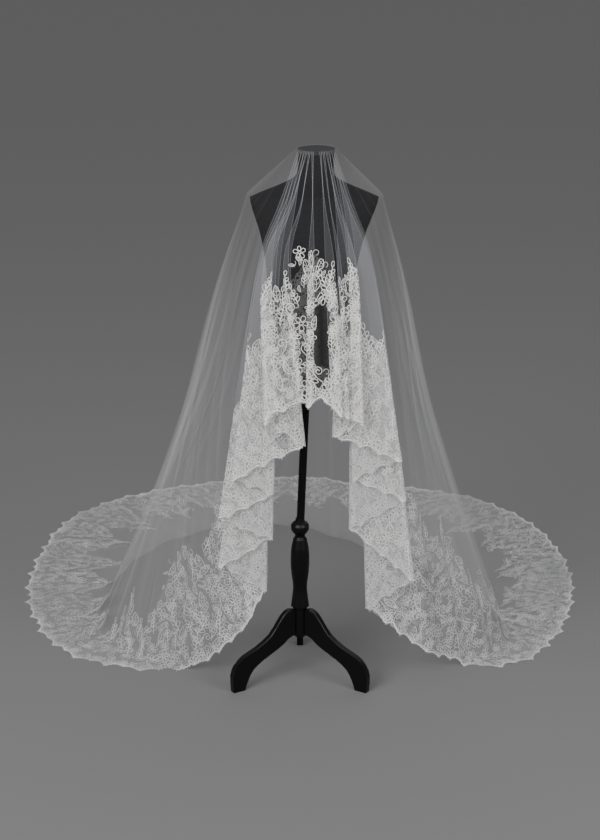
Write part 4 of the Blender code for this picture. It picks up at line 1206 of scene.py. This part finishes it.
@dataclass
class LaceCords:
    """The corded floral pattern, drawn as ribbons on the sheet."""

    sheet: VeilSheet
    material: bpy.types.Material
    row_spacing: float = 0.036
    spacing: float = 0.042
    first_row: float = 0.040
    least_radius: float = 0.015
    most_radius: float = 0.024
    cord: float = 0.0019
    vein: float = 0.0011
    fall_thin: float = 0.64
    hung_thin: float = 0.74
    point_step: float = 0.0046
    proud: float = 0.0009
    hem_clear: float = 0.0015
    hem_width: float = 0.0032
    hem_step: float = 0.006
    second_hem: float = 0.0075
    small_curl: float = 0.020
    small_leaf: float = 0.0085
    fan: float = 0.024
    fan_leaf: float = 0.011
    fan_leaf_up: float = 0.034
    probe: float = 0.004
    seed: int = 7
    top_reach: float = 0.56
    # Placed one by one on the front fall: what, X, Z, reach and turn
    placed: tuple[tuple[Motif, float, float, float, float], ...] = (
        (Motif.FLOWER, -0.005, 1.302, 0.017, 0.2),
        (Motif.LEAF, 0.008, 1.290, 0.010, 1.9), (Motif.CURL, -0.014, 1.285, 0.020, 0.0),
        (Motif.LEAF, 0.000, 1.275, 0.010, 3.0),
    )

    def __post_init__(self) -> None:
        """Starts with no cords, and one list for each stretch."""
        self.random = np.random.default_rng(self.seed)
        self.lines: dict[str, list[tuple[np.ndarray, float]]] = {name: [] for name in self.sheet.stretches()}

    def spaced(self, points: np.ndarray) -> np.ndarray:
        """A polyline at even steps of the cord's point step.

        Args:
            points: the polyline.

        Returns:
            The polyline at even steps.
        """
        run = running(points)
        count = max(3, min(len(points), 9), int(round(run[-1] / self.point_step)) + 1)
        even = np.linspace(0.0, run[-1], count)
        return np.stack([np.interp(even, run, points[:, axis]) for axis in range(2)], axis=1)

    def loop(self, length: float, half: float) -> np.ndarray:
        """A closed pointed petal that grows along +Y from the origin."""
        sweep = np.linspace(0.0, 2.0 * math.pi, 13)
        return np.stack([half * np.sin(sweep), length * 0.5 * (1.0 - np.cos(sweep))], axis=1)

    def drawing(self, kind: Motif, radius: float) -> list[tuple[np.ndarray, float]]:
        """The cords of one motif round its own origin, growing along +Y.

        Args:
            kind: which motif.
            radius: its reach in metres.

        Returns:
            Pairs of a polyline and its cord's width.
        """
        rnd = self.random
        out = []
        if kind is Motif.FLOWER:
            petals = int(rnd.integers(5, 8))
            start = rnd.uniform(0.0, 2.0 * math.pi)
            sweep = np.linspace(0.0, 2.0 * math.pi, 15)
            for k in range(petals):
                reach = radius * rnd.uniform(0.82, 1.08)
                out_from = 0.20 * radius
                along = out_from + (reach - out_from) * 0.5 * (1.0 - np.cos(sweep))
                aside = 0.92 * math.pi * reach / petals * 0.62 * np.sin(sweep) * (0.55 + 0.45 * along / reach)
                angle = start + 2.0 * math.pi * k / petals + rnd.uniform(-0.12, 0.12)
                out.append((turned(np.stack([along, aside], axis=1), angle), self.cord))
            ring = 0.17 * radius
            out.append((np.stack([ring * np.cos(sweep[::2]), ring * np.sin(sweep[::2])], axis=1), self.vein))
        elif kind is Motif.LEAF:
            length, half = 2.1 * radius, rnd.uniform(0.36, 0.50) * radius
            along = np.linspace(0.0, 1.0, 10)
            bend = rnd.uniform(-0.35, 0.35) * radius * np.sin(math.pi * along)
            upper = np.stack([half * np.sin(math.pi * along) ** 0.8 + bend, length * (along - 0.5)], axis=1)
            lower = np.stack([-half * np.sin(math.pi * along) ** 0.8 + bend, length * (along - 0.5)], axis=1)
            middle = np.stack([bend, length * (along - 0.5)], axis=1)[:-1]
            out += [(upper, self.cord), (lower, self.cord), (middle, self.vein)]
            for share in (0.35, 0.6):
                foot = np.array((float(np.interp(share, along, bend)), length * (share - 0.5)))
                for way in (-1.0, 1.0):
                    tip = foot + np.array((way * 0.75 * half, 0.30 * radius))
                    out.append((np.stack([foot, 0.5 * (foot + tip) + (0.0, -0.05 * radius), tip]), self.vein))
        elif kind is Motif.SPRAY:
            along = np.linspace(0.0, 1.0, 10)
            bend = rnd.uniform(-0.5, 0.5) * radius * np.sin(0.5 * math.pi * along) ** 2
            stem = np.stack([bend, 2.9 * radius * (along - 0.45)], axis=1)
            out.append((stem, self.cord))
            for k in range(6):
                foot = stem[k + 1]
                way = -1.0 if k % 2 else 1.0
                leaf = self.loop((0.95 - 0.07 * k) * radius, 0.22 * radius)
                placed = turned(leaf, -way * rnd.uniform(0.45, 0.75)) + foot
                out.append((placed, self.cord if k % 3 else self.vein))
            out.append((self.loop(0.8 * radius, 0.2 * radius) + stem[-1] - (0.0, 0.15 * radius), self.cord))
        elif kind is Motif.FAN:
            for turn in np.linspace(-1.15, 1.15, 5):
                petal = self.loop(radius * rnd.uniform(0.95, 1.15), 0.19 * radius)
                out.append((turned(petal, turn), self.cord))
        elif kind is Motif.SCROLL:
            way = rnd.choice((-1.0, 1.0))
            angle = np.linspace(0.0, rnd.uniform(2.4, 3.2) * math.pi, 26)
            size = 0.62 * radius * (1.0 - 0.80 * angle / angle[-1])
            spiral = np.stack([way * size * np.cos(angle), 0.30 * radius + size * np.sin(angle)], axis=1)
            tail = np.stack([way * radius * np.array((0.05, 0.40, 0.62)),
                             radius * np.array((-1.0, -0.45, 0.25))], axis=1)
            out += [(np.concatenate([tail, spiral]), self.cord)]
        else:
            angle = np.linspace(0.0, rnd.uniform(1.0, 1.9) * math.pi, 9)
            start = rnd.uniform(0.0, 2.0 * math.pi)
            size = 0.36 * radius
            curl = np.stack([size * np.cos(angle + start), size * np.sin(angle + start)], axis=1)
            out.append((curl, self.vein))
        return out

    def put(self, kind: Motif, along: float, up: float, radius: float, angle: float) -> None:
        """Lays one motif on the sheet.

        Args:
            kind: which motif.
            along: its place along the hem.
            up: its distance from the hem.
            radius: its reach.
            angle: its turn from straight up the cloth.
        """
        step = self.probe
        probe, _ = self.sheet.place(np.array((along - step, along + step, along, along)),
                                    np.array((up, up, up - step, up + step)))
        run_along = (probe[1] - probe[0]) / (2 * step)
        run_up = (probe[3] - probe[2]) / (2 * step)
        lean = float(run_along @ run_up)
        scale = max(float(np.linalg.norm(run_along - lean * run_up)), 0.15)
        stretch = self.stretch_at(along)
        thin = min(max(radius / 0.018, 0.6), 1.0)
        thin *= self.fall_thin if stretch.startswith(("train", "side")) else self.hung_thin
        for points, width in self.drawing(kind, radius):
            local = turned(self.spaced(points), angle)
            aside, rise = local[:, 0] / scale, local[:, 1] - local[:, 0] * lean / scale
            places = np.stack([along + aside, up + rise], axis=1)
            low = self.sheet.scallop(places[:, 0]) + self.hem_clear
            places[:, 1] = np.clip(places[:, 1], low, self.top_reach)
            self.lines[stretch].append((places, width * thin))

    def stretch_at(self, along: float) -> str:
        """Which stretch of the hem a place belongs to.

        Args:
            along: distance along the hem.

        Returns:
            The stretch's name.
        """
        for name, (first, last) in self.sheet.stretches().items():
            if along <= self.sheet.hem_run[last]:
                return name
        return "cascade_right"

    def is_open(self, along: float, up: float) -> bool:
        """Whether a place lies in the net that is left open on the front fall.

        Args:
            along: distance along the hem.
            up: distance up from it.

        Returns:
            Whether it does.
        """
        first, last = self.sheet.stretches()["front"]
        if not self.sheet.hem_run[first] <= along <= self.sheet.hem_run[last]:
            return False
        place, _ = self.sheet.place(np.array((along,)), np.array((up,)))
        return bool(self.sheet.in_open_net(place)[0])

    def scatter(self) -> None:
        """Lays the motifs in rows up from the hem, as far as the border reaches."""
        sheet, rnd = self.sheet, self.random
        row = 0
        up = self.first_row
        deepest = float(sheet.drawn_depth.max())
        peaks = np.array(sheet.columns.peak)
        while up < deepest:
            level = min(int(up / sheet.up_step), sheet.up_count - 1)
            widths = running(sheet.up[:, level])
            for k in range(int(widths[-1] / self.spacing)):
                at = (k + 0.5 * (row % 2) + rnd.uniform(-0.2, 0.2)) * self.spacing
                along = float(np.interp(at, widths, sheet.hem_run))
                here = up + rnd.uniform(-0.006, 0.006)
                left = float(np.interp(along, sheet.hem_run, sheet.drawn_depth)) - here
                radius = rnd.uniform(self.least_radius, self.most_radius)
                if left < 0.2 * radius or self.is_open(along, here):
                    continue
                column = int(np.interp(along, sheet.hem_run, np.arange(sheet.count)))
                draw = rnd.uniform()
                if left < 0.09:
                    kind = Motif.SPRAY if draw < 0.6 else Motif.LEAF
                else:
                    kind = (Motif.FLOWER if draw < 0.36 else Motif.SPRAY if draw < 0.58
                            else Motif.LEAF if draw < 0.78 else Motif.SCROLL)
                lean = math.atan2(float(peaks[column]), 0.18) * 0.9
                angle = lean + rnd.normal(0.0, 0.30) if kind is not Motif.FLOWER else rnd.uniform(0.0, 6.28)
                self.put(kind, along, here, radius, angle)
                for small in (Motif.CURL, Motif.LEAF):
                    aside = along + rnd.choice((-1.0, 1.0)) * rnd.uniform(0.012, 0.024)
                    beside = max(here + rnd.uniform(-0.020, 0.020), 0.006)
                    if not self.is_open(aside, beside):
                        size = self.small_curl if small is Motif.CURL else self.small_leaf
                        self.put(small, aside, beside, size, rnd.normal(lean, 0.7))
            up += self.row_spacing
            row += 1
        for k in range(int(sheet.hem_run[-1] / sheet.scallop_spacing)):
            tip = (k + 1.0) * sheet.scallop_spacing
            self.put(Motif.FAN, tip, float(sheet.scallop(tip)) + self.probe, self.fan, 0.0)
            self.put(Motif.LEAF, (k + 0.5) * sheet.scallop_spacing, self.fan_leaf_up, self.fan_leaf,
                     rnd.uniform(-0.5, 0.5))

    def hand_placed(self) -> None:
        """Lays the motifs of the front fall that stand apart, at the nearest place of the foremost cloth."""
        first, last = self.sheet.stretches()["front"]
        part = self.sheet.up[first:last + 1]
        for kind, x, z, radius, angle in self.placed:
            gap = np.hypot(part[..., 0] - x, part[..., 2] - z) + 0.5 * (part[..., 1] + 0.2)
            column, level = np.unravel_index(int(np.argmin(gap)), gap.shape)
            along, up = float(self.sheet.hem_run[first + column]), float(level * self.sheet.up_step)
            self.put(kind, along, up, radius, angle)

    def hem_cord(self) -> None:
        """The cord along the scalloped hem, with one more a little way up."""
        sheet = self.sheet
        for name, (first, last) in sheet.stretches().items():
            start, end = sheet.hem_run[first], sheet.hem_run[last]
            along = np.linspace(start, end, max(8, int((end - start) / self.hem_step)))
            edge = sheet.scallop(along) + 0.5 * self.hem_width
            self.lines[name].append((np.stack([along, edge], axis=1), self.hem_width))
            self.lines[name].append((np.stack([along, edge + self.second_hem], axis=1), self.vein))

    def build(self) -> None:
        """Lays the pattern and makes one piece for each stretch."""
        self.scatter()
        self.hand_placed()
        self.hem_cord()
        for name, lines in self.lines.items():
            made = self.ribbons("lace_cords_" + name, lines)
            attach(made, "root")
            LOG.info("%s has %d faces", made.name, len(made.data.polygons))

    def ribbons(self, name: str, lines: list[tuple[np.ndarray, float]]) -> bpy.types.Object:
        """One mesh of all cords of a stretch.

        Args:
            name: name of the piece.
            lines: the cords' places along and up from the hem, with their widths.

        Returns:
            The piece.
        """
        flat = np.concatenate([points for points, _ in lines])
        counts = np.array([len(points) for points, _ in lines])
        widths = np.repeat([width for _, width in lines], counts)
        places, normals = self.sheet.place(flat[:, 0], flat[:, 1])
        first = np.concatenate([[0], np.cumsum(counts)[:-1]])
        last = np.cumsum(counts) - 1
        before, after = np.arange(len(flat)) - 1, np.arange(len(flat)) + 1
        before[first] = first
        after[last] = last
        aside = unit(np.cross(unit(places[after] - places[before]), normals)) * (0.5 * widths)[:, None]
        lift = normals * self.proud
        points = np.stack([places + aside + lift, places - aside + lift], axis=1).reshape(-1, 3)
        points[:, 2] = np.maximum(points[:, 2], FLOOR_Z)
        keep = np.ones(len(flat), dtype=bool)
        keep[last] = False
        a = np.nonzero(keep)[0]
        faces = np.stack([2 * a, 2 * a + 2, 2 * a + 3, 2 * a + 1], axis=1)
        made = make_mesh(name, points, faces, self.material)
        lines_of = np.arange(self.sheet.count)
        column = np.interp(flat[:, 0], self.sheet.hem_run, lines_of)
        # Painted shade of the cords: the share of the lit colour on each line
        set_values(made, "light", np.repeat(np.interp(column, lines_of, self.sheet.light()), 2))
        return made


def turned(points: np.ndarray, angle: float) -> np.ndarray:
    """Points of a plane turned round the origin.

    Args:
        points: the points.
        angle: the angle in radians.

    Returns:
        The turned points.
    """
    cos, sin = math.cos(angle), math.sin(angle)
    x, y = points[:, 0], points[:, 1]
    return np.stack([x * cos - y * sin, x * sin + y * cos], axis=1)


@dataclass
class Picots:
    """Small rings of thread along the scalloped hem, set by Geometry Nodes."""

    sheet: VeilSheet
    material: bpy.types.Material
    spacing: float = 0.0090
    radius: float = 0.0021
    thread: float = 0.0005

    def group(self) -> bpy.types.GeometryNodeTree:
        """The node group: a ring on each point, turned by the point's own turn.

        Returns:
            The group.
        """
        group = bpy.data.node_groups.new("picot_rings", "GeometryNodeTree")
        for name, way, kind in (("Points", "INPUT", "Geometry"), ("Radius", "INPUT", "Float"),
                                ("Thread", "INPUT", "Float"), ("Finish", "INPUT", "Material"),
                                ("Rings", "OUTPUT", "Geometry")):
            group.interface.new_socket(name, in_out=way, socket_type="NodeSocket" + kind)
        start, end = group.nodes.new("NodeGroupInput"), group.nodes.new("NodeGroupOutput")
        ring = group.nodes.new("GeometryNodeCurvePrimitiveCircle")
        ring.inputs["Resolution"].default_value = 8
        profile = group.nodes.new("GeometryNodeCurvePrimitiveCircle")
        profile.inputs["Resolution"].default_value = 4
        sweep = group.nodes.new("GeometryNodeCurveToMesh")
        turn = group.nodes.new("GeometryNodeInputNamedAttribute")
        turn.data_type = "FLOAT_VECTOR"
        turn.inputs["Name"].default_value = "turn"
        euler = group.nodes.new("FunctionNodeEulerToRotation")
        on_points = group.nodes.new("GeometryNodeInstanceOnPoints")
        real = group.nodes.new("GeometryNodeRealizeInstances")
        paint = group.nodes.new("GeometryNodeSetMaterial")
        for source, out_name, target, in_name in (
            (start, "Radius", ring, "Radius"), (start, "Thread", profile, "Radius"),
            (ring, "Curve", sweep, "Curve"), (profile, "Curve", sweep, "Profile Curve"),
            (start, "Points", on_points, "Points"), (sweep, "Mesh", on_points, "Instance"),
            (turn, "Attribute", euler, "Euler"), (euler, "Rotation", on_points, "Rotation"),
            (on_points, "Instances", real, "Geometry"), (real, "Geometry", paint, "Geometry"),
            (start, "Finish", paint, "Material"), (paint, "Geometry", end, "Rings"),
        ):
            group.links.new(source.outputs[out_name], target.inputs[in_name])
        return group

    def build(self) -> None:
        """Makes the piece."""
        sheet = self.sheet
        along = np.arange(self.spacing, sheet.hem_run[-1], self.spacing)
        edge = sheet.scallop(along)
        hem, normal = sheet.place(along, edge)
        inner, _ = sheet.place(along, edge + 0.006)
        out = unit(hem - inner)
        places = hem + out * self.radius * 0.7 + normal * self.thread
        places[:, 1] += GROUND_SHIFT_Y
        places[:, 2] = np.maximum(places[:, 2], FLOOR_Z + self.thread)
        turns = [tuple(Matrix((np.cross(y, z), y, z)).transposed().to_euler())
                 for y, z in zip(out, unit(normal - out * np.sum(normal * out, axis=1, keepdims=True)))]
        mesh = bpy.data.meshes.new("picot_points")
        mesh.from_pydata(places.tolist(), [], [])
        attribute = mesh.attributes.new("turn", "FLOAT_VECTOR", "POINT")
        attribute.data.foreach_set("vector", np.array(turns).ravel())
        base = bpy.data.objects.new("picot_points", mesh)
        bpy.context.collection.objects.link(base)
        modifier = base.modifiers.new("rings", "NODES")
        modifier.node_group = self.group()
        values = {"Radius": self.radius, "Thread": self.thread, "Finish": self.material}
        for item in modifier.node_group.interface.items_tree:
            if item.in_out == "INPUT" and item.name in values:
                modifier[item.identifier] = values[item.name]
        made = bpy.data.meshes.new_from_object(base.evaluated_get(bpy.context.evaluated_depsgraph_get()))
        bpy.data.objects.remove(base)
        piece = bpy.data.objects.new("lace_picots", made)
        bpy.context.collection.objects.link(piece)
        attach(piece, "root")


# Form, stand and studio


@dataclass
class DressForm:
    """The padded torso, smooth between the sections of part.py, and the finishes of the stand."""

    jersey: bpy.types.Material
    sides: int = 96
    steps: int = 5
    squareness: float = 2.3
    lean: float = 0.0393
    lean_from: float = 0.45
    # Height, half width, depth to the front, depth to the back
    sections: tuple[tuple[float, float, float, float], ...] = (
        (0.900, 0.104, 0.064, 0.066), (0.908, 0.113, 0.072, 0.074), (0.970, 0.117, 0.077, 0.083),
        (1.060, 0.115, 0.075, 0.078), (1.150, 0.116, 0.078, 0.074), (1.225, 0.122, 0.086, 0.078),
        (1.285, 0.132, 0.089, 0.084), (1.335, 0.145, 0.078, 0.085), (1.375, 0.159, 0.062, 0.078),
        (1.405, 0.169, 0.046, 0.062), (1.424, 0.172, 0.030, 0.040), (1.438, 0.140, 0.034, 0.040),
        (1.455, 0.098, 0.039, 0.043), (1.470, 0.066, 0.044, 0.046), (1.482, 0.052, 0.047, 0.048),
        (1.495, 0.048, 0.048, 0.048), (1.5447, 0.048, 0.048, 0.048),
    )

    def ring(self, row: np.ndarray) -> np.ndarray:
        """One section's points.

        Args:
            row: height, half width, and depths to the front and the back.

        Returns:
            The points.
        """
        turn = 2.0 * math.pi * np.arange(self.sides) / self.sides
        power = 2.0 / self.squareness
        across, along = np.cos(turn), np.sin(turn)
        x = np.sign(across) * np.abs(across) ** power * row[1]
        y = np.sign(along) * np.abs(along) ** power * np.where(along > 0, row[3], row[2])
        return np.stack([self.lean * (row[0] - self.lean_from) + x, y, np.full(self.sides, row[0])], axis=1)

    def build(self) -> None:
        """Makes the torso."""
        table = np.array(self.sections)
        rings = [np.repeat(self.ring(table[0]).mean(axis=0)[None], self.sides, axis=0)]
        padded = np.vstack([table[:1], table, table[-1:]])
        for k in range(len(table) - 1):
            four = padded[k:k + 4]
            for step in range(self.steps):
                t = step / self.steps
                smooth = smooth_between(four, t)
                plain = four[1] * (1 - t) + four[2] * t
                smooth[0] = plain[0]
                rings.append(self.ring(np.minimum(smooth, plain + 0.0006)))
        rings.append(self.ring(table[-1]))
        rings.append(np.repeat(self.ring(table[-1]).mean(axis=0)[None], self.sides, axis=0))
        part = np.stack(rings, axis=0)
        rows = len(rings)
        i, j = np.meshgrid(np.arange(rows - 1), np.arange(self.sides), indexing="ij")
        k = (j + 1) % self.sides
        faces = np.stack([i * self.sides + j, i * self.sides + k, (i + 1) * self.sides + k,
                          (i + 1) * self.sides + j], axis=-1).reshape(-1, 4)
        made = make_mesh("form_torso_cover", part.reshape(-1, 3), faces, self.jersey)
        made.data.set_sharp_from_angle(angle=math.radians(40.0))
        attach(made, "root")
        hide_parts("form_torso")

    def dress(self, nodes: dict[str, bpy.types.Object]) -> None:
        """Gives the CAD nodes of the form and the stand their finishes.

        Args:
            nodes: the CAD nodes by name.
        """
        lacquer = LACQUER.make()
        finishes = {"neck_cap": CAP_CLOTH.make(), "pole": ENAMEL.make()}
        for name in ("collar", "column", "hub", "leg_left", "leg_right", "leg_back"):
            finishes[name] = lacquer
        for name, material in finishes.items():
            for slot in nodes[name].material_slots:
                slot.material = material


@dataclass
class Studio:
    """Floor, lights and camera."""

    floor_colour: tuple[float, float, float, float] = (0.150, 0.150, 0.152, 1.0)
    world_colour: tuple[float, float, float, float] = (0.5, 0.5, 0.51, 1.0)
    world_strength: float = 0.30
    sun_angle: float = 1.2
    # Name, strength and turn
    suns: tuple[tuple[str, float, tuple[float, float, float]], ...] = (
        ("sun_front", 1.8, (0.62, -0.30, 0.0)), ("sun_back", 0.7, (-0.75, 0.25, 0.0)),
    )
    camera_y: float = -4.7
    camera_z: float = 2.4298
    camera_tilt: float = 0.33551
    lens: float = 76.35
    # Name, place from the stand's axis, size, power, and the height that it looks at
    lights: tuple[tuple[str, tuple[float, float, float], float, float, float], ...] = (
        ("key_soft", (-2.6, -3.4, 3.0), 2.4, 170.0, 0.9),
        ("fill_soft", (3.2, -2.6, 2.4), 2.4, 110.0, 0.8),
    )

    def build(self) -> None:
        """Makes all of it."""
        nodes = Nodes("studio_floor")
        nodes.set(Base_Color=self.floor_colour, Roughness=1.0, Specular_IOR_Level=0.0)
        size = 40.0
        corners = np.array(((-size, -size, -0.0002), (size, -size, -0.0002), (size, size, -0.0002),
                            (-size, size, -0.0002)))
        floor = make_mesh("studio_floor", corners, np.array([[0, 1, 2, 3]]), nodes.material)
        floor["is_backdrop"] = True
        world = bpy.data.worlds.new("studio")
        world.use_nodes = True
        world.node_tree.nodes["Background"].inputs["Color"].default_value = self.world_colour
        world.node_tree.nodes["Background"].inputs["Strength"].default_value = self.world_strength
        bpy.context.scene.world = world
        for name, place, width, power, look in self.lights:
            data = bpy.data.lights.new(name, "AREA")
            data.shape = "DISK"
            data.size = width
            data.energy = power
            light = bpy.data.objects.new(name, data)
            start = np.array(place) + (0.0, GROUND_SHIFT_Y, 0.0)
            way = np.array((0.0, GROUND_SHIFT_Y + 0.3, look)) - start
            light.location = start
            light.rotation_euler = (math.atan2(math.hypot(way[0], way[1]), -way[2]), 0.0,
                                    math.atan2(way[1], way[0]) - math.pi / 2.0)
            bpy.context.collection.objects.link(light)
        for name, strength, turn in self.suns:
            sun = bpy.data.lights.new(name, "SUN")
            sun.energy = strength
            sun.angle = self.sun_angle
            lamp = bpy.data.objects.new(name, sun)
            lamp.rotation_euler = turn
            bpy.context.collection.objects.link(lamp)
        data = bpy.data.cameras.new("camera")
        data.lens = self.lens
        data.sensor_width = 36.0
        camera = bpy.data.objects.new("camera", data)
        camera.location = (0.0, self.camera_y + GROUND_SHIFT_Y, self.camera_z)
        camera.rotation_euler = (math.pi / 2.0 - self.camera_tilt, 0.0, 0.0)
        bpy.context.collection.objects.link(camera)
        bpy.context.scene.camera = camera


def corners() -> list[list[float]]:
    """The object's box as plain lists."""
    return [[float(x) for x in corner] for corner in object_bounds()]


def main() -> None:
    """Builds the pieces in order, and logs the sheet, the cloth pieces and the cords."""
    logging.basicConfig(level=logging.INFO, format="%(message)s")
    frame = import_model()
    bpy.context.scene.cycles.transparent_max_bounces = 64
    sheet = VeilSheet()
    sheet.build()
    Cloth(sheet, TulleFinish().make(), LaceGroundFinish().make()).build()
    cord = CordFinish().make()
    LaceCords(sheet, cord).build()
    Picots(sheet, cord).build()
    form = DressForm(JERSEY.make())
    form.build()
    form.dress(frame["nodes"])
    Studio().build()


if __name__ == "__main__":
    main()
